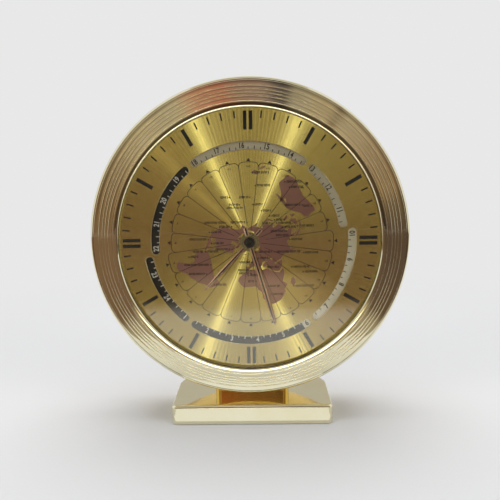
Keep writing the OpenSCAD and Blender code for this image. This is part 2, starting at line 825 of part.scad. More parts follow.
module movement_housing() {
    color(moulding) on_dial() difference() {
        union() {
            difference() {
                translate([0, 0, floor_back]) linear_extrude(height = plate_back - floor_back)
                    plate_outline(house_x, -house_low, house_top);
                translate([0, 0, floor_front]) linear_extrude(height = plate_back - floor_front + over)
                    plate_outline(house_x - house_wall, -house_low + house_wall, house_top - house_wall);
            }
            for (p = boss_places) translate([p[0], p[1], 0]) ring(boss_r, 0, floor_front - tiny, plate_back);
            for (p = post_places) translate([p[0], p[1], 0])
                ring(post_r, 0, floor_front - tiny, train_plate_back);
            for (y = [board_y[0] + board_post_y, board_y[1] - board_post_y])
                translate([board_x[0] + board_post_x, y, 0]) ring(post_r, 0, floor_front - tiny, board_back);
            for (y = [stator_y[0] + stator_arm / 2, stator_y[1] - stator_arm / 2])
                translate([stator_x[0] + stator_leg_x, y, 0])
                    ring(stator_leg_r, 0, floor_front - tiny, stator_back);
        }
        translate([0, 0, floor_back - over]) arbor_bores(floor_t);
        for (p = boss_places) translate([p[0], p[1], floor_front + 2 * hole_floor])
            cylinder(r = screw_r, h = drum_l);
        for (p = post_places) translate([p[0], p[1], floor_front + hole_floor])
            cylinder(r = post_screw_r, h = drum_l);
    }
}

module movement_screws() {
    color(steel) on_dial() for (p = boss_places) translate([p[0], p[1], carrier_front])
        screw(screw_r, screw_head_r, screw_head_t, carrier_front - plate_back + boss_screw_l);
}

module train_plate() {
    color(brass) on_dial() difference() {
        translate([0, 0, train_plate_back]) linear_extrude(height = train_plate_t)
            plate_outline(train_plate_x, -house_low + plate_edge, house_top - plate_edge);
        translate([0, 0, train_plate_back - over]) {
            arbor_bores(train_plate_t);
            bore(motion_x, motion_y, minute_post_r + run_fit, train_plate_t);
            for (p = post_places) bore(p[0], p[1], screw_r + fit, train_plate_t);
        }
    }
}

module train_plate_screws() {
    color(steel) on_dial() for (p = post_places) translate([p[0], p[1], train_plate_front])
        screw(post_screw_r, post_screw_head_r, screw_head_t, train_plate_t + post_screw_l);
}

module minute_arbor() {
    wheel_back = layer_front(0) - train_t;
    color(steel) on_dial() {
        ring(arbor_r, 0, arbor_end, minute_hand_front);
        gear(cannon_n, motion_m, minute_wheel_back - end_play, minute_wheel_front + end_play, cannon_phase);
        ring(arbor_r + collar_w, 0, wheel_back - 2 * collar_w - fit, wheel_back - fit);
    }
}

module minute_wheel() {
    color(brass) on_dial() translate([motion_x, motion_y, 0]) {
        gear(minute_wheel_n, motion_m, minute_wheel_back, minute_wheel_front, minute_wheel_phase);
        gear(minute_pinion_n, motion_m, minute_wheel_front - tiny, hour_wheel_front + end_play + fit,
            minute_pinion_phase);
        ring(minute_post_r, 0, train_plate_back + end_play, plate_front - 2 * end_play);
        ring(minute_post_r + minute_hub_w, 0, train_plate_front + end_play, minute_wheel_back + tiny);
    }
}

module hour_wheel() {
    color(brass) on_dial() bored(hour_pipe_in) {
        gear(hour_wheel_n, motion_m, hour_wheel_back, hour_wheel_front, hour_wheel_phase);
        ring(hour_pipe_r, 0, hour_wheel_back, hour_hand_front);
        ring(hour_pipe_r + hour_hub_w, 0, hour_wheel_front - tiny, plate_back - end_play);
    }
}

module hour_pinion() {
    color(brass) on_dial() bored(hour_pipe_r) {
        gear(hour_pinion_n, world_m, idler_gear_back, idler_gear_front, hour_pinion_phase);
        ring(hour_pipe_r + hour_pinion_hub_w, 0, plate_front + end_play, idler_gear_back + tiny);
    }
}

module idler_post() {
    color(steel) on_dial() translate([idler_x, idler_y, 0]) {
        ring(idler_post_r, 0, plate_back, world_gear_front + end_play + fit);
        ring(idler_post_r + hour_pinion_hub_w, idler_post_r - tiny, plate_front, idler_gear_back - end_play);
    }
}

module idler_gear() {
    bore_r = idler_post_r + run_fit;
    color(pale) on_dial() translate([idler_x, idler_y, 0]) bored(bore_r) {
        gear(idler_wheel_n, world_m, idler_gear_back, idler_gear_front, idler_wheel_phase);
        gear(idler_pinion_n, world_m, world_gear_back, world_gear_front, idler_pinion_phase);
        ring(bore_r + idler_hub_w, 0, idler_gear_front - tiny, world_gear_back + tiny);
    }
}

module world_wheel() {
    color(pale) on_dial() bored(world_pipe_in) {
        gear(world_wheel_n, world_m, world_gear_back, world_gear_front, world_wheel_phase);
        ring(world_pipe_r + world_hub_w, 0, world_gear_front - tiny, disc_back);
        ring(world_pipe_r, 0, disc_back - tiny, disc_front + world_collar);
    }
}

module world_disc() {
    color("white") on_dial() ring(disc_r, world_pipe_r, disc_back, disc_front);
}

// A flat hand pointing up: it widens from the hub, then tapers to its tip, and its tail is square
module hand(l, w, tail, hub_r, bore, z0) {
    root_w = 0.72 * w;
    tip_w = 0.5;
    wide_y = 0.62 * l;
    tail_w = 0.95 * w;
    translate([0, 0, z0]) linear_extrude(height = hand_t) difference() {
        union() {
            polygon([
                [root_w / 2, 0], [w / 2, wide_y], [tip_w / 2, l],
                [-tip_w / 2, l], [-w / 2, wide_y], [-root_w / 2, 0]
            ]);
            translate([-tail_w / 2, -tail]) square([tail_w, tail]);
            circle(r = hub_r);
        }
        circle(r = bore);
    }
}

module hour_hand() {
    color(brass) on_dial() at_clock(hour_angle)
        hand(hour_hand_l, hour_hand_w, hour_tail_l, hour_hub_r, hour_pipe_r, hour_hand_back);
}

module minute_hand() {
    color(brass) on_dial() at_clock(minute_angle)
        hand(minute_hand_l, minute_hand_w, minute_tail_l, minute_hub_r, arbor_r, minute_hand_back);
}

module hand_cap() {
    // Height of the dome's centre over the hand, where its sphere meets the rim at half the cap's height
    low = cap_h / 2 - (cap_r * cap_r - cap_h * cap_h / 4) / cap_h;
    color("black") on_dial() translate([0, 0, minute_hand_front]) rotate_extrude() intersection() {
        translate([0, low]) circle(r = cap_h - low, $fn = 180);
        square([cap_r, cap_h]);
    }
}

module centre_wheel() {
    color(brass) on_dial() bored(arbor_r + run_fit)
        gear(centre_wheel_n, train_m, layer_front(0) - train_t, layer_front(0), centre_wheel_phase, 1);
}

module clutch_spring() {
    color(steel) on_dial() {
        ring(clutch_r, arbor_r, layer_front(0) + clutch_gap, layer_front(0) + clutch_gap + clutch_t);
        ring(arbor_r + clutch_pipe_w, arbor_r, layer_front(0) + clutch_gap + clutch_t - tiny,
            train_plate_back - end_play);
    }
}

module train_arbor() {
    ring(pivot_r, 0, arbor_end, train_plate_front - end_play);
}

// A train wheel in layer i with its pinion one layer in front
module train_wheel(n, i, wheel_phase, pinion_phase) {
    gear(n, train_m, layer_front(i) - train_t, layer_front(i), wheel_phase, 1);
    gear(train_pinion_n, train_m, layer_front(i) - tiny, layer_front(i - 1) + pinion_reach, pinion_phase);
    train_arbor();
}

module third_wheel() {
    color(brass) on_dial() translate([third_x, third_y, 0])
        train_wheel(third_wheel_n, 1, third_wheel_phase, third_pinion_phase);
}

module fourth_wheel() {
    color(brass) on_dial() translate([fourth_x, fourth_y, 0])
        train_wheel(fourth_wheel_n, 2, fourth_wheel_phase, fourth_pinion_phase);
}

module fifth_wheel() {
    color(pale) on_dial() translate([fifth_x, fifth_y, 0])
        train_wheel(fifth_wheel_n, 3, fifth_wheel_phase, fifth_pinion_phase);
}

module rotor() {
    color(pale) on_dial() translate([rotor_x, rotor_y, 0]) {
        gear(train_pinion_n, train_m, layer_front(3) - train_t - pinion_reach, magnet_back,
            rotor_pinion_phase);
        train_arbor();
    }
}

module rotor_magnet() {
    color(moulding) on_dial() translate([rotor_x, rotor_y, 0])
        ring(magnet_r, pivot_r, magnet_back, magnet_front);
}

module stator() {
    gap_x = coil_x - coil_r - stator_t;
    color(steel) on_dial() difference() {
        box(stator_x, stator_y, [stator_back, stator_front]);
        translate([0, 0, stator_back - over]) bore(rotor_x, rotor_y, magnet_r + stator_bore, stator_t);
        box([gap_x, stator_x[1] + over], [stator_y[0] + stator_arm, stator_y[1] - stator_arm],
            [stator_back - over, stator_front + over]);
    }
}

// Places its children at the coil with their Z axis along the coil, from one stator arm to the other
module along_coil() {
    translate([coil_x, stator_y[0] + stator_arm, stator_mid]) rotate([-90, 0, 0]) children();
}
coil_l = stator_y[1] - stator_y[0] - 2 * stator_arm;

module coil_bobbin() {
    color(pale) on_dial() along_coil() {
        ring(bobbin_r, 0, 0, coil_l);
        ring(coil_r, 0, 0, flange_t);
        ring(coil_r, 0, coil_l - flange_t, coil_l);
    }
}

module coil_winding() {
    color("orangered") on_dial() along_coil() ring(coil_r - 0.1, bobbin_r, flange_t, coil_l - flange_t);
}

module circuit_board() {
    color("darkgreen") on_dial() box(board_x, board_y, [board_back, board_front]);
}

module chip() {
    color("black") on_dial() translate([board_x[0] + chip_x, board_y[0] + chip_y, board_front])
        cylinder(r = chip_r, h = chip_t);
}

module quartz_can() {
    color(steel) on_dial() translate([board_x[0] + board_post_x, board_y[1] - can_y, board_front + can_r])
        rotate([-90, 0, 0]) cylinder(r = can_r, h = can_l);
}

module battery_tray() {
    color(moulding) on_dial() difference() {
        box([-house_x, house_x], [tray_low, tray_top], [cover_front, tray_front]);
        box([-tray_in_x, tray_in_x], [tray_low + tray_wall, tray_top - tray_wall],
            [cover_front - over, tray_floor]);
    }
}

module battery() {
    color("darkorange") on_dial() translate([cell_x, tray_mid_y, cell_z]) rotate([0, -90, 0]) {
        cylinder(r = cell_nub_r, h = cell_nub_l + tiny);
        translate([0, 0, cell_nub_l]) cylinder(r = cell_r, h = cell_l - cell_nub_l);
    }
}

// Flat contact plate against an end wall of the tray
module contact_plate(x) {
    box([x, x + contact_t], [tray_mid_y - contact_w / 2, tray_mid_y + contact_w / 2],
        [cell_z - contact_h / 2, cell_z + contact_h / 2]);
}

module plus_contact() {
    color(steel) on_dial() {
        contact_plate(tray_in_x - contact_t);
        translate([tray_in_x - contact_t + tiny, tray_mid_y, cell_z]) rotate([0, -90, 0])
            cylinder(r = contact_nub_r, h = contact_nub_l);
    }
}

module minus_contact() {
    leaf_x = cell_x - cell_l - fit;
    leaf_w = contact_w / 2;
    wall_x = -tray_in_x;
    bow = (wall_x + leaf_x) / 2;
    color(steel) on_dial() {
        contact_plate(wall_x);
        translate([0, tray_mid_y - leaf_w / 2, cell_z]) rotate([-90, 0, 0]) linear_extrude(height = leaf_w)
            polygon([
                [wall_x + contact_t - tiny, -4], [bow, -3], [leaf_x, -1],
                [leaf_x, 1], [bow, 0.8], [bow, -2.4],
                [wall_x + contact_t - tiny, -3.4]
            ]);
    }
}

module set_arbor() {
    back = knob_back + knob_floor;
    color(steel) on_dial() translate([set_x, set_y, 0]) ring(arbor_r, 0, back, plate_front - end_play - fit);
}

module set_pinion() {
    color(brass) on_dial() translate([set_x, set_y, 0]) bored(arbor_r)
        gear(set_pinion_n, motion_m, minute_wheel_back - fit, minute_wheel_front + fit, set_pinion_phase);
}

module set_knob() {
    grooves = 24;
    groove_r = 0.45;
    color(moulding) on_dial() translate([set_x, set_y, 0]) difference() {
        ring(knob_r, 0, knob_back, knob_back + knob_h);
        translate([0, 0, knob_back + knob_floor]) cylinder(r = arbor_r, h = knob_h);
        for (k = [0:grooves - 1]) rotate([0, 0, 360 * k / grooves])
            translate([knob_r + fit, 0, knob_back - over])
                cylinder(r = groove_r, h = knob_h + 2 * over, $fn = 16);
    }
}

base();
base_pad();
neck();
base_screws();
case_screws();
bezel();
glass();
glass_gasket();
dial_ring();
dial();
hour_bars();
drum();
dial_spacers();
carrier_plate();
back_cover();
cover_screws();
battery_door();
front_plate();
movement_housing();
movement_screws();
train_plate();
train_plate_screws();
minute_arbor();
minute_wheel();
hour_wheel();
hour_pinion();
idler_post();
idler_gear();
world_wheel();
world_disc();
hour_hand();
minute_hand();
hand_cap();
centre_wheel();
clutch_spring();
third_wheel();
fourth_wheel();
fifth_wheel();
rotor();
rotor_magnet();
stator();
coil_bobbin();
coil_winding();
circuit_board();
chip();
quartz_can();
battery_tray();
battery();
plus_contact();
minus_contact();
set_arbor();
set_pinion();
set_knob();
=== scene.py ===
from math import cos, pi, radians, sin, tan

import bmesh
import bpy
from mathutils import Matrix, Vector
from mathutils.geometry import tessellate_polygon


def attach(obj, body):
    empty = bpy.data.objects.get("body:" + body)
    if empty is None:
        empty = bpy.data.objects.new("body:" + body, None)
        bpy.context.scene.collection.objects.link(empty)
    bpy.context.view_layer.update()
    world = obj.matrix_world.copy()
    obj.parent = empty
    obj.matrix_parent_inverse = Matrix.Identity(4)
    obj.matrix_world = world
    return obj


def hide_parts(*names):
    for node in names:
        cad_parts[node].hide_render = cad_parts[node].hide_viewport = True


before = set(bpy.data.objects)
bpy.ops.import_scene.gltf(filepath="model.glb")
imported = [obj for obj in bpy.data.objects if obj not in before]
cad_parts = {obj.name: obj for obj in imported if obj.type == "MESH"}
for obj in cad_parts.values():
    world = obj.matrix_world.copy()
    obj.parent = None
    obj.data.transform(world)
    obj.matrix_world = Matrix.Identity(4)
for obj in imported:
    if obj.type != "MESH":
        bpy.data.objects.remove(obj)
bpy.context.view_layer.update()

print("frame loaded with", len(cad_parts), "parts")

# The dial faces -Y; face coordinates are in mm: x right, y up, z out from the dial
dialPlace = {"planeY": -13.0, "centreZ": 90.5, "mm": 0.001}


def onFace(x, y, z=0.0):
    mm = dialPlace["mm"]
    return Vector((x * mm, (dialPlace["planeY"] - z) * mm, (dialPlace["centreZ"] + y) * mm))


def atClock(radius, degrees):
    turn = radians(degrees)
    return radius * sin(turn), radius * cos(turn)


dialMiddle = onFace(0, 0)


# Noise values lie mostly within this span
noiseSpan = (0.3, 0.7)


# Shader helpers: a value may be a number, a colour or another node's output
def addNode(mat, kind, inputs=None, **settings):
    made = mat.node_tree.nodes.new("ShaderNode" + kind)
    for key, value in settings.items():
        setattr(made, key, value)
    for key, value in (inputs or {}).items():
        if isinstance(value, bpy.types.NodeSocket):
            mat.node_tree.links.new(value, made.inputs[key])
        else:
            made.inputs[key].default_value = value
    return made


def calc(mat, operation, *values):
    return addNode(mat, "Math", dict(enumerate(values)), operation=operation).outputs[0]


def plus(mat, first, second):
    return calc(mat, "ADD", first, second)


def minus(mat, first, second):
    return calc(mat, "SUBTRACT", first, second)


def times(mat, first, second):
    return calc(mat, "MULTIPLY", first, second)


def lengthOf(mat, first, second):
    return calc(mat, "SQRT", plus(mat, times(mat, first, first), times(mat, second, second)))


def mixColour(mat, factor, first, second):
    first, second = (one if isinstance(one, bpy.types.NodeSocket) else (*one, 1) for one in (first, second))
    return addNode(mat, "Mix", {0: factor, 6: first, 7: second}, data_type="RGBA").outputs[2]


def rangeOf(mat, value, low, high, toLow=0.0, toHigh=1.0, smooth=False):
    kind = "SMOOTHSTEP" if smooth else "LINEAR"
    made = addNode(mat, "MapRange", {0: value, 1: low, 2: high, 3: toLow, 4: toHigh}, interpolation_type=kind)
    return made.outputs[0]


def objectPoint(mat, scale=(1, 1, 1)):
    spot = addNode(mat, "TexCoord").outputs["Object"]
    if scale == (1, 1, 1):
        return spot
    return addNode(mat, "Mapping", {"Vector": spot, "Scale": scale}).outputs[0]


def noise(mat, scale, detail=2.0, stretch=(1, 1, 1)):
    made = addNode(mat, "TexNoise", {"Vector": objectPoint(mat, stretch), "Scale": scale, "Detail": detail})
    return made.outputs[0]


# Noise that changes along one value only, such as the angle
def noiseAlong(mat, value, scale):
    made = addNode(mat, "TexNoise", {"W": value, "Scale": scale, "Detail": 2.0}, noise_dimensions="1D")
    return made.outputs[0]


def pointParts(mat):
    return addNode(mat, "SeparateXYZ", {0: objectPoint(mat)}).outputs


def bumpFrom(mat, height, strength, distance):
    return addNode(mat, "Bump", {"Height": height, "Strength": strength, "Distance": distance}).outputs[0]


def newMaterial(name, **sockets):
    mat = bpy.data.materials.new(name)
    mat.use_nodes = True
    shader = mat.node_tree.nodes["Principled BSDF"]
    for key, value in sockets.items():
        shader.inputs[key.replace("_", " ")].default_value = value
    return mat, shader


def feed(mat, shader, **sockets):
    for key, value in sockets.items():
        mat.node_tree.links.new(value, shader.inputs[key.replace("_", " ")])


def showSurface(mat, shader):
    mat.node_tree.links.new(shader.outputs[0], mat.node_tree.nodes["Material Output"].inputs["Surface"])


def showMixed(mat, share, first, second):
    showSurface(mat, addNode(mat, "MixShader", {0: share, 1: first.outputs[0], 2: second.outputs[0]}))


# Metal finish: base colour with faint tarnish clouds, fine scratches in the roughness and a slight bump
def metalFinish(name, colour, darker, roughness, cloud=60.0, grain=900.0, bump=0.02, stretch=(1, 1, 1)):
    mat, shader = newMaterial(name, Metallic=1.0)
    clouds = rangeOf(mat, noise(mat, cloud, 3.0), 0.35, 0.7)
    scratches = noise(mat, grain, stretch=stretch)
    feed(
        mat, shader,
        Base_Color=mixColour(mat, clouds, colour, darker),
        Roughness=rangeOf(mat, scratches, *noiseSpan, *roughness),
        Normal=bumpFrom(mat, scratches, bump, 0.0002),
    )
    return mat


# Moulded or painted finish: fine grain in colour, roughness and bump
def mouldFinish(name, colour, lighter, roughness, grain=1500.0, bump=0.1, metallic=0.0):
    mat, shader = newMaterial(name, Metallic=metallic)
    speck = noise(mat, grain, 3.0)
    feed(
        mat, shader,
        Base_Color=mixColour(mat, rangeOf(mat, speck, 0.35, 0.75), colour, lighter),
        Roughness=rangeOf(mat, noise(mat, grain * 0.1), *noiseSpan, *roughness),
        Normal=bumpFrom(mat, speck, bump, 0.0001),
    )
    return mat


polishedBrass = metalFinish("polishedBrass", (0.90, 0.85, 0.62), (0.87, 0.80, 0.54), (0.05, 0.09), bump=0.01)
steelFinish = metalFinish("steelFinish", (0.62, 0.62, 0.60), (0.50, 0.50, 0.49), (0.22, 0.34))
gearBrass = metalFinish("gearBrass", (0.80, 0.60, 0.26), (0.70, 0.50, 0.20), (0.18, 0.30))
copperWire = metalFinish("copperWire", (0.75, 0.33, 0.16), (0.62, 0.25, 0.12), (0.25, 0.35), stretch=(1, 1, 12))
magnetDark = metalFinish("magnetDark", (0.12, 0.12, 0.12), (0.08, 0.08, 0.09), (0.45, 0.6))
blackPaint = mouldFinish("blackPaint", (0.006, 0.006, 0.005), (0.018, 0.017, 0.015), (0.25, 0.4), bump=0.03)
blackRubber = mouldFinish("blackRubber", (0.012, 0.012, 0.012), (0.022, 0.022, 0.022), (0.6, 0.8))
blackFelt = mouldFinish("blackFelt", (0.010, 0.010, 0.011), (0.040, 0.040, 0.042), (0.9, 1.0), 2600.0, 0.8)
blackMoulding = mouldFinish("blackMoulding", (0.014, 0.014, 0.014), (0.030, 0.030, 0.029), (0.42, 0.58), bump=0.25)
whiteMoulding = mouldFinish("whiteMoulding", (0.62, 0.61, 0.57), (0.72, 0.71, 0.67), (0.4, 0.55))
boardGreen = mouldFinish("boardGreen", (0.012, 0.075, 0.030), (0.020, 0.110, 0.045), (0.3, 0.45), 700.0, 0.05)
cellWrap = mouldFinish("cellWrap", (0.30, 0.12, 0.02), (0.36, 0.16, 0.03), (0.25, 0.35), 400.0, 0.03, 0.4)
ringGrey = metalFinish("ringGrey", (0.46, 0.44, 0.38), (0.38, 0.36, 0.31), (0.16, 0.26))


# Clock angle and radius on the dial, from the object's own coordinates
def dialPolar(mat):
    across, _, height = pointParts(mat)
    up = minus(mat, height, dialMiddle.z)
    return calc(mat, "ARCTAN2", across, up), lengthOf(mat, across, up)


# Brushed from the middle outwards in fine ribs that lean to one side; the dish and the upward tilt keep the
# bright beams straight
brushing = {
    "ribs": 96, "lean": 0.11, "facet": 0.08, "broadLines": 60.0, "broadLean": 0.02, "dish": 2.44, "tiltUp": 0.087,
    "roughness": (0.12, 0.16), "anisotropy": 1.0, "sheenStreaks": 110.0, "patches": 300.0,
}
# the gold and the deeper gold are mixed in fine streaks along the clock angle, a painted sheen of the brushing
dialLook = {"gold": (0.88, 0.72, 0.27), "deepGold": (0.80, 0.62, 0.20)}


def brushedNormal(mat, angle, radius):
    b = brushing
    rib = calc(mat, "ABSOLUTE", calc(mat, "SINE", times(mat, angle, b["ribs"])))
    broad = rangeOf(mat, noiseAlong(mat, angle, b["broadLines"]), 0.25, 0.75, -b["broadLean"], b["broadLean"])
    lean = plus(mat, calc(mat, "MULTIPLY_ADD", rib, b["lean"], b["facet"]), broad)
    inward = times(mat, radius, -b["dish"])
    sine, cosine = calc(mat, "SINE", angle), calc(mat, "COSINE", angle)
    leanX = plus(mat, times(mat, lean, cosine), times(mat, inward, sine))
    leanZ = minus(mat, times(mat, inward, cosine), times(mat, lean, sine))
    tilt = addNode(mat, "CombineXYZ", {"X": leanX, "Z": plus(mat, leanZ, b["tiltUp"])}).outputs[0]
    surface = addNode(mat, "NewGeometry").outputs["Normal"]
    leaning = addNode(mat, "VectorMath", {0: surface, 1: tilt}, operation="ADD").outputs[0]
    return addNode(mat, "VectorMath", {0: leaning}, operation="NORMALIZE").outputs[0]


# Finish shared by the dial and the print that lets its brushing shine through
def brushedFinish(name, colour, darker, roughness, metallic=1.0):
    mat, shader = newMaterial(name, Metallic=metallic, Anisotropic=brushing["anisotropy"])
    angle, radius = dialPolar(mat)
    # painted sheen: fine streaks of lighter and darker tone along the clock angle
    sheenStreaks = rangeOf(mat, noiseAlong(mat, angle, brushing["sheenStreaks"]), *noiseSpan)
    feed(
        mat, shader,
        Base_Color=mixColour(mat, sheenStreaks, colour, darker),
        Roughness=rangeOf(mat, noise(mat, brushing["patches"]), *noiseSpan, *roughness),
        Tangent=addNode(mat, "Tangent", direction_type="RADIAL", axis="Y").outputs[0],
        Normal=brushedNormal(mat, angle, radius),
    )
    return mat


dialGold = brushedFinish("dialGold", dialLook["gold"], dialLook["deepGold"], brushing["roughness"])

# the light half's paler colour low on the dial is painted light
discLook = {
    "dark": (0.010, 0.010, 0.010), "light": (0.62, 0.58, 0.46), "paintedLightLow": (0.94, 0.92, 0.79),
    "darkFrom": 148.7, "darkTo": 323.7, "paintedLightRange": (0.6, -0.2), "roughness": (0.34, 0.46), "lightMetallic": 0.2,
}


def makeDiscPrint():
    d = discLook
    mat, shader = newMaterial("discPrint")
    angle = dialPolar(mat)[0]
    # the dark half lies between two clock angles, taken round its middle
    middle = radians((d["darkFrom"] + d["darkTo"]) / 2 - 360)
    half = radians((d["darkTo"] - d["darkFrom"]) / 2)
    isDark = calc(mat, "GREATER_THAN", calc(mat, "COSINE", minus(mat, angle, middle)), cos(half))
    # painted light: the light half is painted paler low on the dial
    paintedLightShare = rangeOf(mat, calc(mat, "COSINE", angle), *d["paintedLightRange"])
    speck = noise(mat, 1400.0)
    feed(
        mat, shader,
        Base_Color=mixColour(mat, isDark, mixColour(mat, paintedLightShare, d["light"], d["paintedLightLow"]), d["dark"]),
        Metallic=rangeOf(mat, isDark, 0.0, 1.0, d["lightMetallic"], 0.0),
        Roughness=rangeOf(mat, speck, *noiseSpan, *d["roughness"]),
        Normal=bumpFrom(mat, speck, 0.05, 0.0001),
    )
    return mat


discPrint = makeDiscPrint()


def makeClearGlass():
    mat, shader = newMaterial("clearGlass", Transmission_Weight=1.0, IOR=1.45)
    shader.inputs["Base Color"].default_value = (0.985, 0.99, 0.985, 1)
    feed(mat, shader, Roughness=rangeOf(mat, noise(mat, 45.0, 4.0), 0.55, 0.8, 0.0, 0.012))
    # lamps reach the dial through the glass
    isShadow = addNode(mat, "LightPath").outputs["Is Shadow Ray"]
    showMixed(mat, isShadow, shader, addNode(mat, "BsdfTransparent"))
    return mat


clearGlass = makeClearGlass()

deepBrass = metalFinish("deepBrass", (0.80, 0.56, 0.16), (0.70, 0.46, 0.11), (0.08, 0.15), bump=0.01)

# Finish of each part that stays as the frame has it
finishes = {
    deepBrass: ["neck"],
    steelFinish: [
        "base_screws", "case_screws", "cover_screws", "carrier_plate", "movement_screws", "train_plate_screws",
        "minute_arbor", "idler_post", "clutch_spring", "stator", "quartz_can", "plus_contact", "minus_contact",
        "set_arbor",
    ],
    gearBrass: [
        "train_plate", "minute_wheel", "hour_wheel", "hour_pinion", "centre_wheel", "third_wheel", "fourth_wheel",
        "set_pinion",
    ],
    whiteMoulding: ["idler_gear", "world_wheel", "fifth_wheel", "rotor", "coil_bobbin"],
    blackMoulding: [
        "dial_spacers", "back_cover", "battery_door", "front_plate", "movement_housing", "battery_tray", "set_knob",
    ],
    copperWire: ["coil_winding"],
    magnetDark: ["rotor_magnet"],
    boardGreen: ["circuit_board"],
    cellWrap: ["battery"],
    blackPaint: ["hour_bars", "hand_cap", "chip"],
    blackRubber: ["glass_gasket"],
    blackFelt: ["base_pad"],
    ringGrey: ["dial_ring"],
    clearGlass: ["glass"],
    dialGold: ["dial"],
    discPrint: ["world_disc"],
}
for finish, names in finishes.items():
    for name in names:
        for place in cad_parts[name].material_slots:
            place.material = finish
print("finishes set")


# Mesh helpers
def meshPiece(name, points, faces, mat, body="case", slotName=None, sharp=30.0):
    mesh = bpy.data.meshes.new(name)
    mesh.from_pydata(points, [], faces)
    mesh.materials.append(mat)
    made = bpy.data.objects.new(name, mesh)
    bpy.context.scene.collection.objects.link(made)
    edit = bmesh.new()
    edit.from_mesh(mesh)
    bmesh.ops.recalc_face_normals(edit, faces=edit.faces)
    for face in edit.faces:
        face.smooth = True
    for edge in edit.edges:
        edge.smooth = edge.is_manifold and edge.calc_face_angle(0.0) < radians(sharp)
    edit.to_mesh(mesh)
    edit.free()
    if body:
        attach(made, body)
    return made


# Rounds the sharp corners of a closed profile with short arcs
def softened(profile, amount, turnOver=20.0, steps=3):
    result = []
    for here, back, ahead in zip(profile, profile[-1:] + profile[:-1], profile[1:] + profile[:1]):
        spot = Vector(here)
        toBack, toAhead = Vector(back) - spot, Vector(ahead) - spot
        if pi - toBack.angle(toAhead) < radians(turnOver):
            result.append(tuple(here))
            continue
        reach = min(amount, toBack.length * 0.4, toAhead.length * 0.4)
        start, end = spot + toBack.normalized() * reach, spot + toAhead.normalized() * reach
        for k in range(steps + 1):
            t = k / steps
            result.append(tuple((1 - t) ** 2 * start + 2 * t * (1 - t) * spot + t ** 2 * end))
    return result


# Quads between rings of points that follow one another; a closed run joins the last ring to the first
def ringFaces(rings, size, closed=False, start=0):
    faces = []
    for k in range(rings if closed else rings - 1):
        here, ahead = start + k * size, start + (k + 1) % rings * size
        faces += [(here + i, here + (i + 1) % size, ahead + (i + 1) % size, ahead + i) for i in range(size)]
    return faces


# Turns a closed (radius, height) profile round the dial axis
def turned(name, profile, mat, steps=288, **options):
    points = [onFace(*atClock(radius, 360 * k / steps), height) for k in range(steps) for radius, height in profile]
    return meshPiece(name, points, ringFaces(steps, len(profile), closed=True), mat, **options)


bezelShape = {
    "opening": 62.8, "lip": 2.5, "lipBevel": 0.5, "tiers": (2.3, 1.6, 1.4, 1.8, 2.6), "rim": 1.6,
    "front": 5.6, "drop": 0.25, "slope": 8.0, "crown": 0.020, "crownSteps": 4, "notch": 0.13, "notchWidth": 0.16,
    "notchWall": 0.05, "rimSteps": 14,
    "glassTop": 4.8, "gasketTop": 3.6, "seat": 1.64,
    "skirtBack": -6.0, "skirtInner": 74.05, "ringRadius": 68.5, "glassRadius": 66.1, "softEdge": 0.2,
}


def buildBezel():
    b = bezelShape
    fall = tan(radians(b["slope"]))
    start = b["opening"] + b["lip"]
    height = b["front"]
    profile = [(b["opening"], b["glassTop"]), (b["opening"], b["front"] - b["lipBevel"]),
               (b["opening"] + b["lipBevel"], b["front"])]
    for i, width in enumerate(b["tiers"]):
        # a narrow notch at the foot of each step, then the tier with a slight crown
        drop = b["drop"] if i else 0.0
        wall, floor = b["notchWall"], b["notchWidth"]
        first = start + 2 * wall + floor
        profile += [(start, height), (start + wall, height - drop - b["notch"]),
                    (start + wall + floor, height - drop - b["notch"])]
        height -= drop
        for k in range(b["crownSteps"]):
            share = k / b["crownSteps"]
            radius = first + (start + width - first) * share
            profile.append((radius, height - (radius - start) * fall + b["crown"] * 4 * share * (1 - share)))
        start += width
        height -= width * fall
    radius = start
    profile = softened(profile + [(radius, height), (radius + 1, height - 1)], b["softEdge"])[:-1]
    for k in range(1, b["rimSteps"] + 1):
        turn = pi / 2 * (1 - k / b["rimSteps"])
        profile.append((radius + b["rim"] * cos(turn), height - b["rim"] + b["rim"] * sin(turn)))
    outer = radius + b["rim"]
    profile += [(outer, b["skirtBack"] + 0.2), (outer - 0.2, b["skirtBack"]), (b["skirtInner"], b["skirtBack"]),
                (b["skirtInner"], b["seat"]), (b["ringRadius"], b["seat"]), (b["ringRadius"], b["gasketTop"]),
                (b["glassRadius"], b["gasketTop"]), (b["glassRadius"], b["glassTop"])]
    made = turned("bezel_ring", profile, polishedBrass, slotName="polished_brass")
    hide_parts("bezel")


drumShape = {
    "outer": 74.0, "inner": 72.4, "ledge": 66.4, "front": 1.54, "back": -30.4,
    "frontLedge": (-7.2, -9.0), "rearLedge": (-26.2, -28.0), "softEdge": 0.3,
}


def buildDrum():
    d = drumShape
    profile = [
        (d["outer"], d["front"]), (d["outer"], d["back"]), (d["inner"], d["back"]),
        (d["inner"], d["rearLedge"][1]), (d["ledge"], d["rearLedge"][1]),
        (d["ledge"], d["rearLedge"][0]), (d["inner"], d["rearLedge"][0]),
        (d["inner"], d["frontLedge"][1]), (d["ledge"], d["frontLedge"][1]),
        (d["ledge"], d["frontLedge"][0]), (d["inner"], d["frontLedge"][0]), (d["inner"], d["front"]),
    ]
    made = turned("drum_shell", softened(profile, d["softEdge"]), deepBrass, slotName="polished_brass")
    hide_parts("drum")


baseShape = {
    "width": 80.0, "depth": 44.0, "height": 10.0, "bottom": 0.3, "frontCorner": 2.5, "rearCorner": 14.5,
    "edge": 1.5, "edgeSteps": 10, "padInset": 3.0, "padRecess": 0.9,
}


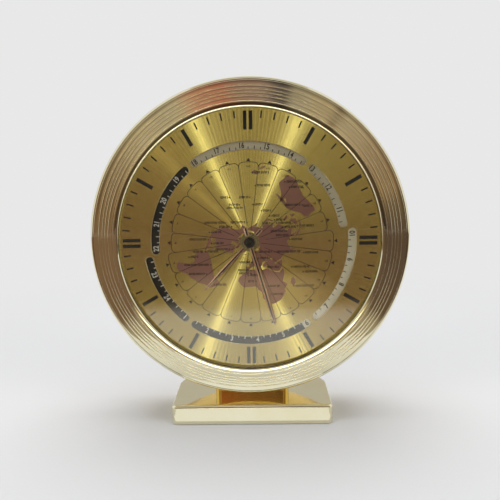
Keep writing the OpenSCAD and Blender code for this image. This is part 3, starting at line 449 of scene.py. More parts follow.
# Outline of the stand block drawn in by an inset, anticlockwise from the front right corner
def baseOutline(inset, steps=14):
    b = baseShape
    halfW = b["width"] / 2 - inset
    halfD = b["depth"] / 2 - inset
    outline = []
    for sx, sy, corner, start in ((1, -1, b["frontCorner"], -90), (1, 1, b["rearCorner"], 0),
                                  (-1, 1, b["rearCorner"], 90), (-1, -1, b["frontCorner"], 180)):
        r = max(corner - inset, 0.4)
        for k in range(steps + 1):
            turn = radians(start + 90 * k / steps)
            outline.append((sx * (halfW - r) + r * cos(turn), sy * (halfD - r) + r * sin(turn)))
    return outline


def buildBase():
    b = baseShape
    bottom, recess = b["bottom"], b["bottom"] + b["padRecess"]
    # inset and height of each ring, from the recess of the pad round the edges to the top
    rings = [(b["padInset"] + 0.2, recess), (b["padInset"], recess), (b["padInset"], bottom + 0.02),
             (b["padInset"] - 0.1, bottom), (0.3, bottom), (0.08, bottom + 0.08), (0.0, bottom + 0.3)]
    for k in range(b["edgeSteps"] + 1):
        turn = pi / 2 * k / b["edgeSteps"]
        rings.append((b["edge"] * (1 - cos(turn)), b["height"] - b["edge"] * (1 - sin(turn))))
    rings.append((b["edge"] + 0.6, b["height"]))
    mm = dialPlace["mm"]
    points = [Vector((x * mm, y * mm, height * mm)) for inset, height in rings for x, y in baseOutline(inset)]
    size, count = len(points) // len(rings), len(points)
    faces = ringFaces(len(rings), size) + [tuple(range(size)), tuple(range(count - size, count))]
    made = meshPiece("base_block", points, faces, polishedBrass, slotName="polished_brass", sharp=35.0)
    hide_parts("base")


buildBezel()
buildDrum()
buildBase()
print("case and stand built")

# Prints: thin closed shapes laid just above a face, gathered in one sheet for each piece
def newSheet():
    return {"points": [], "faces": []}


def addPrism(sheet, outline, low, high, holes=()):
    loops = [outline, *holes]
    flat = [[Vector((x, y, 0)) for x, y in loop] for loop in loops]
    start = len(sheet["points"])
    every = [spot for loop in flat for spot in loop]
    count = len(every)
    sheet["points"] += [onFace(p.x, p.y, low) for p in every] + [onFace(p.x, p.y, high) for p in every]
    for a, b, c in tessellate_polygon(flat):
        sheet["faces"] += [(start + a, start + b, start + c),
                           (start + count + a, start + count + c, start + count + b)]
    first = 0
    for loop in flat:
        size = len(loop)
        for i in range(size):
            j = (i + 1) % size
            sheet["faces"].append((start + first + i, start + first + j,
                                   start + count + first + j, start + count + first + i))
        first += size


# Strip of even width along a path, mitred at its bends
def addStroke(sheet, path, width, low, high):
    spots = [Vector(spot) for spot in path]
    ways = [(ahead - spot).normalized() for spot, ahead in zip(spots, spots[1:])]
    start = len(sheet["points"])
    for spot, before, after in zip(spots, ways[:1] + ways, ways + ways[-1:]):
        middle = (before + after).normalized()
        across = Vector((-middle.y, middle.x)) * (width / 2 / max(0.5, middle.dot(before)))
        left, right = spot + across, spot - across
        sheet["points"] += [onFace(*left, high), onFace(*right, high), onFace(*right, low), onFace(*left, low)]
    end = len(sheet["points"]) - 4
    sheet["faces"] += ringFaces(len(spots), 4, start=start)
    sheet["faces"] += [tuple(range(start, start + 4)), tuple(range(end + 3, end - 1, -1))]


def addBlock(sheet, x, y, width, height, low, high, turn=0.0):
    c, s = cos(radians(turn)), sin(radians(turn))
    corners = [(-width / 2, -height / 2), (width / 2, -height / 2), (width / 2, height / 2), (-width / 2, height / 2)]
    addPrism(sheet, [(x + u * c - v * s, y + u * s + v * c) for u, v in corners], low, high)


def sheetPiece(sheet, name, mat, **options):
    return meshPiece(name, sheet["points"], sheet["faces"], mat, sharp=20.0, **options)


# Numbers from the built-in font, drawn in as thin solids
numberShapes = {}


def numberShape(words, height):
    if (words, height) in numberShapes:
        return numberShapes[words, height]
    curve = bpy.data.curves.new("number", "FONT")
    curve.body = words
    curve.resolution_u = 3
    curve.offset = 0.022
    curve.extrude = 0.5
    made = bpy.data.objects.new("number", curve)
    bpy.context.scene.collection.objects.link(made)
    bpy.context.view_layer.update()
    mesh = made.evaluated_get(bpy.context.evaluated_depsgraph_get()).to_mesh()
    spots = [v.co.copy() for v in mesh.vertices]
    faces = [tuple(p.vertices) for p in mesh.polygons]
    bpy.data.objects.remove(made)
    bpy.data.curves.remove(curve)
    lowX, highX = min(p.x for p in spots), max(p.x for p in spots)
    lowY, highY = min(p.y for p in spots), max(p.y for p in spots)
    middleX, middleY, scale = (lowX + highX) / 2, (lowY + highY) / 2, height / (highY - lowY)
    shape = ([((p.x - middleX) * scale, (p.y - middleY) * scale, p.z + 0.5) for p in spots], faces)
    numberShapes[words, height] = shape
    return shape


def addNumber(sheet, words, height, x, y, turn, low, high, squeeze=1.0):
    spots, faces = numberShape(words, height)
    c, s = cos(radians(turn)), sin(radians(turn))
    start = len(sheet["points"])
    for u, v, w in spots:
        u *= squeeze
        sheet["points"].append(onFace(x + u * c - v * s, y + u * s + v * c, low + w * (high - low)))
    sheet["faces"] += [tuple(start + i for i in face) for face in faces]


printLook = {
    "landColour": (0.48, 0.26, 0.21), "landDarker": (0.42, 0.22, 0.18), "landTop": 0.02,
    "lineTop": 0.03, "labelTop": 0.035, "low": 0.004, "lineWidth": 0.27, "minuteMarks": (58.3, 61.7, 0.68),
}
landPrint = brushedFinish("landPrint", printLook["landColour"], printLook["landDarker"], (0.3, 0.38), 0.85)
whitePaint = mouldFinish("whitePaint", (0.86, 0.86, 0.83), (0.90, 0.90, 0.87), (0.4, 0.55), bump=0.03)
rimMetal = metalFinish("rimMetal", (0.92, 0.86, 0.66), (0.84, 0.78, 0.58), (0.14, 0.24))

# World map round the pole: outlines in longitude and latitude, in round degrees, at this many mm a degree
mapScale = 0.264
# lands printed larger than true: middle latitude and how far they spread about it
printedLarger = {"australia": (-24.5, 1.8), "newZealandNorth": (-41, 1.5), "newZealandSouth": (-41, 1.5)}
landOutlines = {
    "northAmerica": [
        (-168, 66), (-162, 67), (-166, 69), (-156, 71), (-141, 70), (-128, 70), (-122, 69), (-115, 68), (-108, 68),
        (-98, 68), (-94, 72), (-91, 70), (-85, 69), (-82, 67), (-87, 64), (-94, 61), (-94, 59), (-91, 57),
        (-83, 55), (-82, 52), (-79, 52), (-79, 55), (-77, 57), (-78, 62), (-73, 62), (-69, 59), (-65, 60),
        (-62, 57), (-56, 53), (-60, 50), (-66, 50), (-64, 48), (-60, 46), (-66, 44), (-70, 43), (-71, 41),
        (-74, 40), (-76, 37), (-76, 35), (-81, 31), (-80, 26), (-82, 27), (-84, 30), (-90, 29), (-94, 29),
        (-97, 27), (-98, 22), (-95, 18), (-91, 19), (-90, 21), (-87, 21), (-88, 16), (-84, 15), (-83, 10),
        (-80, 9), (-78, 8), (-81, 7), (-85, 10), (-88, 13), (-92, 14), (-96, 16), (-102, 18), (-105, 20),
        (-109, 25), (-113, 31), (-115, 31), (-110, 24), (-112, 25), (-115, 29), (-118, 34), (-121, 35),
        (-124, 40), (-124, 47), (-128, 51), (-133, 56), (-138, 59), (-146, 61), (-152, 59), (-158, 56),
        (-164, 55), (-158, 58), (-162, 59), (-166, 62), (-161, 64),
    ],
    "baffin": [(-88, 73), (-80, 74), (-70, 71), (-62, 66), (-65, 62), (-72, 64), (-74, 68), (-84, 70)],
    "victoria": [(-117, 71), (-115, 73), (-105, 73), (-102, 69), (-112, 69)],
    "ellesmere": [(-90, 76), (-91, 81), (-70, 83), (-62, 82), (-76, 78)],
    "greenland": [
        (-44, 60), (-50, 62), (-53, 67), (-55, 71), (-60, 75), (-70, 77), (-60, 81), (-40, 83), (-20, 82),
        (-18, 76), (-23, 70), (-34, 67), (-41, 63),
    ],
    "southAmerica": [
        (-78, 8), (-75, 11), (-72, 12), (-68, 11), (-62, 10), (-57, 6), (-51, 4), (-50, 0), (-44, -3), (-39, -3),
        (-35, -7), (-38, -13), (-39, -18), (-42, -23), (-48, -26), (-49, -29), (-53, -33), (-57, -35), (-58, -38),
        (-62, -39), (-65, -43), (-66, -47), (-69, -51), (-68, -54), (-72, -53), (-75, -48), (-73, -40), (-71, -30),
        (-70, -19), (-76, -14), (-81, -6), (-80, -2), (-77, 3),
    ],
    "africa": [
        (-6, 36), (3, 37), (10, 37), (11, 34), (15, 32), (20, 31), (22, 33), (32, 31), (34, 27), (37, 21), (40, 15),
        (43, 11), (51, 12), (48, 5), (42, -2), (39, -6), (41, -15), (35, -20), (35, -24), (32, -28), (27, -34),
        (20, -35), (18, -32), (15, -27), (12, -18), (13, -12), (12, -6), (9, -1), (9, 4), (4, 6), (-4, 5), (-8, 4),
        (-13, 8), (-17, 13), (-17, 21), (-13, 27), (-10, 31),
    ],
    "madagascar": [(49, -12), (50, -16), (47, -25), (44, -25), (44, -18)],
    "eurasia": [
        (-9, 37), (-9, 43), (-2, 43), (-1, 46), (-4, 48), (0, 49), (3, 51), (8, 54), (8, 57), (11, 56), (11, 54),
        (14, 54), (19, 54), (21, 57), (24, 57), (24, 59), (30, 60), (22, 60), (21, 63), (25, 65), (22, 66), (17, 62),
        (17, 58), (13, 55), (11, 59), (6, 58), (5, 62), (14, 68), (25, 71), (41, 67), (34, 66), (38, 64), (44, 66),
        (44, 68), (54, 68), (60, 69), (68, 69), (67, 72), (73, 73), (80, 73), (90, 75), (104, 78), (113, 74),
        (128, 72), (140, 73), (160, 70), (178, 69), (190, 66), (178, 63), (170, 60), (163, 58), (162, 56),
        (157, 51), (156, 57), (163, 62), (155, 59), (142, 59), (135, 55), (141, 52), (140, 48), (132, 43),
        (128, 40), (129, 36), (126, 35), (125, 39), (121, 40), (118, 39), (122, 37), (119, 35), (122, 31),
        (120, 27), (115, 23), (108, 21), (106, 18), (109, 13), (106, 9), (102, 12), (100, 13), (100, 8), (103, 2),
        (101, 3), (98, 8), (98, 14), (94, 17), (91, 22), (87, 21), (80, 15), (80, 10), (77, 8), (73, 17), (72, 21),
        (67, 24), (60, 25), (57, 27), (50, 30), (48, 29), (51, 25), (55, 26), (60, 22), (56, 18), (52, 16),
        (45, 13), (42, 16), (38, 22), (35, 28), (35, 32), (36, 36), (30, 36), (27, 38), (29, 41), (35, 42),
        (41, 41), (38, 46), (34, 45), (31, 46), (28, 43), (28, 41), (23, 40), (23, 37), (21, 38), (19, 42),
        (13, 45), (16, 41), (18, 40), (16, 38), (12, 42), (9, 44), (4, 43), (0, 40), (-2, 37), (-6, 36),
    ],
    "britain": [(-5, 50), (1, 51), (1, 53), (-2, 56), (-3, 58), (-6, 57), (-3, 54), (-5, 52)],
    "ireland": [(-9, 52), (-6, 52), (-6, 54), (-8, 55), (-10, 54)],
    "iceland": [(-22, 64), (-14, 65), (-16, 66), (-23, 66)],
    "novaya": [(52, 71), (57, 75), (68, 77), (60, 74), (57, 71)],
    "svalbard": [(12, 78), (18, 77), (26, 80), (14, 80)],
    "japan": [(131, 32), (136, 34), (140, 36), (141, 39), (145, 43), (141, 45), (140, 41), (137, 37), (132, 35)],
    "sumatra": [(95, 5), (99, 3), (104, -2), (106, -6), (101, -3), (97, 1)],
    "java": [(105, -6), (114, -7), (114, -9), (106, -8)],
    "borneo": [(109, 1), (113, 3), (117, 7), (119, 5), (116, -4), (110, -2)],
    "celebes": [(120, 1), (125, 2), (122, -1), (123, -5), (120, -5)],
    "philippines": [(120, 18), (122, 16), (124, 13), (126, 7), (122, 8), (121, 13)],
    "newGuinea": [(131, -1), (138, -2), (147, -6), (151, -10), (143, -9), (138, -8), (133, -4)],
    "australia": [
        (114, -22), (119, -20), (122, -17), (126, -14), (130, -12), (136, -12), (136, -15), (140, -18), (142, -11),
        (146, -19), (150, -23), (153, -27), (151, -33), (150, -38), (145, -39), (140, -37), (138, -35), (135, -34),
        (131, -32), (124, -33), (118, -35), (115, -34), (115, -30), (113, -26),
    ],
    "tasmania": [(145, -41), (148, -41), (147, -44)],
    "newZealandNorth": [(173, -35), (178, -38), (175, -41), (173, -39)],
    "newZealandSouth": [(173, -41), (171, -44), (168, -47), (167, -45), (171, -42)],
    "ceylon": [(80, 10), (82, 7), (80, 6)],
    "cuba": [(-85, 22), (-80, 23), (-74, 20), (-78, 20)],
    "hispaniola": [(-74, 20), (-69, 19), (-71, 18)],
}
seaOutlines = {
    "caspian": [(47, 45), (51, 47), (53, 45), (51, 41), (54, 37), (50, 37), (49, 41)],
    "aral": [(58, 45), (61, 46), (61, 44)],
    "baikal": [(104, 52), (109, 55), (108, 53)],
}


# Middle of the map is the pole, with longitude 0 down to 6 o'clock
def mapSpot(longitude, latitude):
    return atClock((90 - latitude) * mapScale, 180 - longitude)


def mapLoop(outline, step=3.0, spread=(0.0, 1.0)):
    outline = [(east, spread[0] + (north - spread[0]) * spread[1]) for east, north in outline]
    spots = []
    for (lonA, latA), (lonB, latB) in zip(outline, outline[1:] + outline[:1]):
        pieces = max(1, int(max(abs(lonB - lonA) * cos(radians((latA + latB) / 2)), abs(latB - latA)) / step))
        for k in range(pieces):
            t = k / pieces
            spots.append(mapSpot(lonA + (lonB - lonA) * t, latA + (latB - latA) * t))
    return spots


def degreesFor(length, radius):
    return length / radius * 180 / pi


petals = {
    "count": 24, "turn": 15.0, "innerRadius": 5.4, "innerStep": 2.5, "shortRadius": 38.0, "longRadius": 40.4,
    "corner": 2.2, "longFrom": 82.5, "longTo": 262.5, "spokeShare": 0.8, "arrow": 1.0, "arrowLength": 1.5,
    "arrowGap": 0.35, "offsetHeight": 1.0, "offsetInset": 2.0,
}

# Rows of short bars that stand for place names: x, y and length in mm, with the dot's side
barLook = {
    "width": 0.34, "tall": 1.15, "short": 0.85, "step": 0.6, "wordStep": 0.85, "foot": 0.26, "footAt": 0.41,
    "footUp": 0.4, "footDown": -0.35, "dot": 0.6, "dotGap": 0.9, "dotDrop": 0.1,
}
placeStrokes = [
    (6, 33, 6.5, -1), (7, 27, 6, -1), (-2.5, 21.5, 4, 1), (-12, 21.5, 3.5, 1), (4.5, 18, 3.5, -1), (-7.5, 18, 4, 1),
    (-7.5, 16.5, 6.5, 1), (21.5, 28.5, 7, -1), (23, 26, 5.5, -1), (21, 17.5, 7, 1), (27.5, 17, 3, 1),
    (8.5, 15, 3.5, -1), (12.5, 12.5, 3.5, -1), (15, 10.5, 4, -1), (-17, 9.5, 9, 1), (-5.5, 9.5, 7, 1), (8, 9, 3.5, 1),
    (17, 9, 6, -1), (19.5, 7, 5.5, -1), (27.5, 7.5, 7, -1), (-12, 7.5, 5, 1), (-16, 5, 5, -1), (13.5, 5, 6.5, 1),
    (16, 3, 6.5, 1), (22.5, 1, 4.5, -1), (-25, 1.5, 8, 1), (-15, -0.5, 5, -1), (-13, -3.5, 7, 1), (-25, -4.5, 5, 1),
    (-18, -4.5, 5, -1), (18.5, -5, 11, -1), (30, -5.5, 6, -1), (-27, -7, 3.5, -1), (-26, -11, 12, 1),
    (-26, -15.5, 7.5, 1), (7, -5, 6.5, -1), (7.5, -8, 5, -1), (10.5, -12.5, 4.5, 1), (25, -12.5, 7.5, -1),
    (30, -15, 6.5, -1), (26.5, -22, 8.5, -1), (-14.5, -21, 4.5, -1), (-2.5, -10, 5, 1), (-3, -14, 5, 1),
    (-3, -15.5, 5, 1), (2.5, -16.5, 5, -1), (0.5, -19.5, 3, 1), (12, -22, 4.5, -1), (13.5, -26, 5, -1),
]


def petalOuter(middle):
    return petals["longRadius"] if petals["longFrom"] < middle < petals["longTo"] else petals["shortRadius"]


def buildLand():
    land = newSheet()
    seas = [mapLoop(loop) for loop in seaOutlines.values()]
    for name, outline in landOutlines.items():
        loop = mapLoop(outline, spread=printedLarger.get(name, (0.0, 1.0)))
        addPrism(land, loop, printLook["low"], printLook["landTop"], seas if name == "eurasia" else ())
    sheetPiece(land, "map_land", landPrint, slotName="dial_gold")


def buildPetals():
    p, lines, low, top = petals, newSheet(), printLook["low"], printLook["lineTop"]
    width, corner = printLook["lineWidth"], p["corner"]
    bends = [pi / 2 * i / 6 for i in range(7)]
    for k in range(p["count"]):
        middle = p["turn"] * k
        start, end, outer = middle - p["turn"] / 2, middle + p["turn"] / 2, petalOuter(middle)
        sweep = degreesFor(corner, outer)
        path = [atClock(outer - corner * (1 - sin(t)), start + sweep * (1 - cos(t))) for t in bends]
        path += [atClock(outer, start + sweep + (end - start - 2 * sweep) * i / 8) for i in range(1, 8)]
        path += [atClock(outer - corner * (1 - cos(t)), end - sweep * (1 - sin(t))) for t in bends]
        addStroke(lines, path, width, low, top)
        # the spoke on this petal's first side reaches further in on every odd one
        reach = p["innerRadius"] + (0 if k % 2 else p["innerStep"])
        longer = max(outer, petalOuter(middle - p["turn"]))
        addStroke(lines, [atClock(reach, start), atClock(longer - corner, start)],
                  width * p["spokeShare"], low, top)
        # arrows point outwards from the short petals and inwards at the long ones
        near, far = (Vector(atClock(outer + p["arrowGap"] + more, middle)) for more in (0, p["arrowLength"]))
        root, point = (far, near) if outer == p["longRadius"] else (near, far)
        side = Vector(atClock(p["arrow"], middle + 90))
        addPrism(lines, [root + side, root - side, point], low, top)
    sheetPiece(lines, "map_lines", blackPaint, slotName="black_paint")


def buildLabels():
    b, labels, low, top = barLook, newSheet(), printLook["low"], printLook["labelTop"]
    for k in range(petals["count"]):
        middle = petals["turn"] * k
        hours = round((180 - middle) / petals["turn"])
        x, y = atClock(petalOuter(middle) - petals["offsetInset"], middle)
        addNumber(labels, f"{hours:+d}" if hours else "0", petals["offsetHeight"], x, y, 0.0, low, top)
    for n, (x, y, length, side) in enumerate(placeStrokes):
        spot, k = x - length / 2, 0
        while spot < x + length / 2:
            # bars of changing height, most with a short foot or cap
            tall = b["tall"] if (n + k) % 3 else b["short"]
            addBlock(labels, spot + b["width"] / 2, y, b["width"], tall, low, top)
            if (n * 3 + k) % 4:
                up = b["footUp"] if (n + k) % 2 else b["footDown"]
                addBlock(labels, spot + b["footAt"], y + up * tall, b["foot"], b["foot"], low, top)
            spot += b["step"] if k % 5 < 4 else b["wordStep"]
            k += 1
        addBlock(labels, x + side * (length / 2 + b["dotGap"]), y - b["dotDrop"], b["dot"], b["dot"], low, top, 45.0)
    sheetPiece(labels, "map_labels", blackPaint, slotName="black_paint")


def buildMinuteMarks():
    marks = newSheet()
    inner, outer, width = printLook["minuteMarks"]
    for k in range(60):
        if k % 5:
            x, y = atClock((inner + outer) / 2, 6 * k)
            addBlock(marks, x, y, width, outer - inner, printLook["low"], printLook["labelTop"], -6 * k)
    sheetPiece(marks, "minute_marks", blackPaint, slotName="black_paint")


windowShape = {
    "width": 3.84, "rim": 0.16, "rimGap": 0.01, "rimHeights": (0.02, 0.05), "inner": 45.72, "outer": 49.6,
    "bridge": 2.2, "stepBridge": 0.7, "steps": 48, "capSteps": 12,
    # clock angles, track and the bridge at either end
    "spans": [
        (322.5, 397.5, "inner", "bridge", "bridge"), (37.5, 82.5, "inner", "bridge", "stepBridge"),
        (82.5, 142.5, "outer", "stepBridge", "bridge"), (142.5, 217.5, "outer", "bridge", "bridge"),
        (217.5, 262.5, "outer", "bridge", "stepBridge"), (262.5, 322.5, "inner", "stepBridge", "bridge"),
    ],
}


def slotOutline(span, half):
    w = windowShape
    start, end, track, bridgeA, bridgeB = span
    radius = w[track]
    start += degreesFor((w[bridgeA] + w["width"]) / 2, radius)
    end -= degreesFor((w[bridgeB] + w["width"]) / 2, radius)
    along = [k / w["steps"] for k in range(w["steps"] + 1)]

    def cap(centre, first):
        cx, cy = atClock(radius, centre)
        ways = [atClock(half, centre + first + 180 * k / w["capSteps"]) for k in range(1, w["capSteps"])]
        return [(cx + dx, cy + dy) for dx, dy in ways]

    outerArc = [atClock(radius + half, start + (end - start) * t) for t in along]
    innerArc = [atClock(radius - half, end + (start - end) * t) for t in along]
    return outerArc + cap(end, 0) + innerArc + cap(start, 180)


def buildWindowRims():
    w, rims, low = windowShape, newSheet(), printLook["low"]
    half = w["width"] / 2
    for span in w["spans"]:
        outer, inner = slotOutline(span, half + w["rim"]), slotOutline(span, half + w["rimGap"])
        start = len(rims["points"])
        for loop, height in zip((outer, outer, inner, inner), (low, *w["rimHeights"], low)):
            rims["points"] += [onFace(x, y, height) for x, y in loop]
        rims["faces"] += ringFaces(4, len(outer), closed=True, start=start)
    sheetPiece(rims, "window_rims", rimMetal, slotName="polished_brass")


# tracks: radius, and whether the tops of the numbers point outwards
discMarks = {
    "zero": 236.2, "hourTurn": 15.0, "low": -1.596, "top": -1.57, "height": 2.75, "numberShift": 0.15,
    "tracks": ((45.72, True), (49.6, False)), "squeeze": 0.80, "tickInner": 1.66, "shortTick": 1.1,
    "longTick": 1.6, "tickWidth": 0.38,
}


def buildDiscMarks():
    d = discMarks
    sheets = {"white": newSheet(), "black": newSheet()}

    def sheetAt(angle):
        isDark = discLook["darkFrom"] < angle % 360 < discLook["darkTo"]
        return sheets["white" if isDark else "black"]

    for radius, outwards in d["tracks"]:
        for hour in range(1, 25):
            angle = d["zero"] - d["hourTurn"] * hour
            x, y = atClock(radius + d["numberShift"], angle)
            turn = -angle if outwards else 180 - angle
            addNumber(sheetAt(angle), str(hour), d["height"], x, y, turn, d["low"], d["top"], d["squeeze"])
            for part in (1, 2, 3):
                at = angle - d["hourTurn"] * part / 4
                length = d["longTick"] if part == 2 else d["shortTick"]
                x, y = atClock(radius - d["tickInner"] + length / 2, at)
                addBlock(sheetAt(at), x, y, d["tickWidth"], length, d["low"], d["top"], -at)
    for name, mat, slotName in (("white", whitePaint, "disc_print"), ("black", blackPaint, "black_paint")):
        sheetPiece(sheets[name], "disc_marks_" + name, mat, body="world_group", slotName=slotName)


buildLand()
buildPetals()
buildLabels()
buildMinuteMarks()
buildWindowRims()
buildDiscMarks()
print("dial and disc printed")

hands = {
    "hour": {"length": 32.6, "width": 1.9, "tail": 8.0, "hub": 4.6, "bore": 1.8, "low": 0.6, "turn": 223.65},
    "minute": {"length": 42.9, "width": 2.3, "tail": 7.2, "hub": 3.4, "bore": 1.0, "low": 1.6, "turn": 163.8},
}
handLook = {
    "edge": (0.86, 0.60, 0.44), "edgeDark": (0.70, 0.40, 0.29), "hub": (0.42, 0.36, 0.20),
    "hubDark": (0.36, 0.30, 0.16), "thick": 0.4, "shoulder": 0.22, "groove": 0.40, "grooveDepth": 0.05,
    "floorShare": 0.8, "stripeShare": 0.84, "stripeInset": 0.25, "stripeHeights": (-0.048, -0.012),
}
handGold = metalFinish("handGold", handLook["edge"], handLook["edgeDark"], (0.12, 0.22), bump=0.01)
hubBrass = metalFinish("hubBrass", handLook["hub"], handLook["hubDark"], (0.22, 0.34))


# A hand in its own frame, pointing up, then turned to its clock angle
def buildHand(name, h):
    look, turn = handLook, radians(h["turn"])
    low, high = h["low"], h["low"] + look["thick"]
    shoulder, sunk = low + look["shoulder"], high - look["grooveDepth"]
    blade, stripe = newSheet(), newSheet()

    def place(x, y):
        return x * cos(turn) + y * sin(turn), -x * sin(turn) + y * cos(turn)

    # half widths along the hand as shares of its width, from the square tail to the tip
    stations = [(-h["tail"], 0.475), (-h["hub"] + 0.3, 0.475), (h["hub"] - 0.5, 0.38), (0.30 * h["length"], 0.43),
                (0.62 * h["length"], 0.5), (0.85 * h["length"], 0.30), (h["length"], 0.25 / h["width"])]
    for part in (stations[:2], stations[2:]):
        start, edges = len(blade["points"]), []
        for y, share in part:
            half = share * h["width"]
            groove = half * look["groove"]
            floor = groove * look["floorShare"]
            cross = [(-half, low), (half, low), (half, shoulder), (groove, high), (floor, sunk),
                     (-floor, sunk), (-groove, high), (-half, shoulder)]
            blade["points"] += [onFace(*place(x, y), z) for x, z in cross]
            edges.append([y, groove * look["stripeShare"]])
        end = len(blade["points"]) - 8
        blade["faces"] += ringFaces(len(part), 8, start=start)
        blade["faces"] += [tuple(range(start, start + 8)), tuple(range(end, end + 8))]
        edges[0][0] += look["stripeInset"]
        edges[-1][0] -= look["stripeInset"]
        outline = [place(half, y) for y, half in edges] + [place(-half, y) for y, half in reversed(edges)]
        addPrism(stripe, outline, *(high + depth for depth in look["stripeHeights"]))
    body = name + "_group"
    hand = sheetPiece(blade, name + "_hand_blade", handGold, body=body, slotName="polished_brass")
    # the hub's edge is rounded and its face sunk a little
    ring = [(h["bore"], low), (h["hub"] - 0.12, low), (h["hub"], low + 0.1), (h["hub"], high - 0.16),
            (h["hub"] - 0.14, high - 0.02), (h["hub"] - 0.45, high - 0.02), (h["hub"] - 0.55, high - 0.1),
            (h["bore"], high - 0.1)]
    turned(name + "_hand_hub", ring, hubBrass, steps=128, body=body, slotName="polished_brass", sharp=25.0)
    sheetPiece(stripe, name + "_hand_stripe", blackPaint, body=body, slotName="black_paint")
    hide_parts(name + "_hand")


for name, shape in hands.items():
    buildHand(name, shape)
print("hands built")


# Stage: pale floor that runs into the same pale background
stageLook = {
    "background": 0.807, "worldLight": 0.45, "floorSize": 3.0, "fade": (0.16, 0.42),
    "paper": (0.795, 0.80, 0.81), "paperLight": (0.825, 0.83, 0.84),
}
# Lamps: place, size and power
clockMiddle = Vector((0, -0.01, 0.085))
lamps = {
    "lampAbove": ((0.0, 0.16, 0.95), (0.75, 0.6), 5.1),
    "lampLeft": ((-0.9, -0.6, 0.5), (0.4, 0.7), 2.2),
    "lampRight": ((0.9, -0.6, 0.5), (0.4, 0.7), 2.2),
}


def seenDirectly(mat):
    path = addNode(mat, "LightPath")
    seen = calc(mat, "MAXIMUM", path.outputs["Is Camera Ray"], path.outputs["Is Glossy Ray"])
    return calc(mat, "MAXIMUM", seen, path.outputs["Is Transmission Ray"])


# Corners of a card between its low and its high corner, level or upright
def cardCorners(low, high):
    (lowX, lowY, lowZ), (highX, highY, highZ) = low, high
    return [low, (highX, lowY, lowZ), high, (lowX, highY, highZ)]


def buildStage():
    s = stageLook
    world = bpy.data.worlds.new("studioWorld")
    bpy.context.scene.world = world
    world.use_nodes = True
    world.node_tree.nodes.clear()
    pale = addNode(world, "Background", {"Color": (1, 1, 1, 1), "Strength": s["background"]})
    soft = addNode(world, "Background", {"Color": (1, 1, 1, 1), "Strength": s["worldLight"]})
    both = addNode(world, "MixShader", {0: seenDirectly(world), 1: soft.outputs[0], 2: pale.outputs[0]})
    addNode(world, "OutputWorld", {0: both.outputs[0]})

    mat, shader = newMaterial("floorPaper", Roughness=0.9)
    feed(mat, shader, Base_Color=mixColour(mat, noise(mat, 900.0, 3.0), s["paper"], s["paperLight"]))
    distance = addNode(mat, "VectorMath", {0: objectPoint(mat)}, operation="LENGTH").outputs["Value"]
    far = rangeOf(mat, distance, *s["fade"], smooth=True)
    glow = addNode(mat, "Emission", {"Color": (1, 1, 1, 1), "Strength": s["background"]})
    showMixed(mat, times(mat, far, seenDirectly(mat)), shader, glow)
    half = s["floorSize"] / 2
    meshPiece("floor", cardCorners((-half, -half, 0), (half, half, 0)), [(0, 1, 2, 3)], mat, body=None)


def addLamp(name, place, size, power):
    lamp = bpy.data.lights.new(name, "AREA")
    lamp.shape = "RECTANGLE"
    lamp.size, lamp.size_y = size
    lamp.energy = power
    made = bpy.data.objects.new(name, lamp)
    bpy.context.scene.collection.objects.link(made)
    made.visible_glossy = False
    made.visible_transmission = False
    made.location = place
    made.rotation_euler = (clockMiddle - Vector(place)).to_track_quat("-Z", "Y").to_euler()


# Cards that only metal and glass reflect. The bezel and the glass see the wall and the table; the brushed dial,
# through the glass, sees the dial room alone.
wallLook = {
    "ahead": 0.8, "halfWidth": 1.1, "top": 0.95, "glassReach": (0.27, 0.40), "glassShare": 0.3,
    "mottle": (0.88, 1.10), "mottleScale": 7.0, "band": 0.50, "bandFrom": 0.42, "bandWidth": 0.16, "footTo": 0.14,
    "span": 110.0,
    # clock angle on the bezel and the tone seen there
    "tones": [
        (-110, (0.18, 0.11, 0.07)), (-90, (0.20, 0.125, 0.078)), (-80, (0.24, 0.15, 0.085)), (-60, (0.33, 0.25, 0.16)),
        (-48, (0.42, 0.35, 0.25)), (-30, (0.40, 0.335, 0.235)), (-24, (0.46, 0.25, 0.18)), (-12, (0.38, 0.15, 0.11)),
        (-6, (0.26, 0.16, 0.13)), (5, (0.24, 0.165, 0.15)), (10, (0.10, 0.08, 0.08)), (14, (0.10, 0.08, 0.08)),
        (17, (0.34, 0.30, 0.25)), (26, (0.36, 0.29, 0.20)), (33, (0.34, 0.27, 0.19)), (36, (0.16, 0.12, 0.08)),
        (40, (0.37, 0.30, 0.21)), (55, (0.30, 0.22, 0.15)), (72, (0.28, 0.19, 0.11)), (80, (0.16, 0.11, 0.07)),
        (90, (0.085, 0.058, 0.05)), (110, (0.11, 0.07, 0.05)),
    ],
}
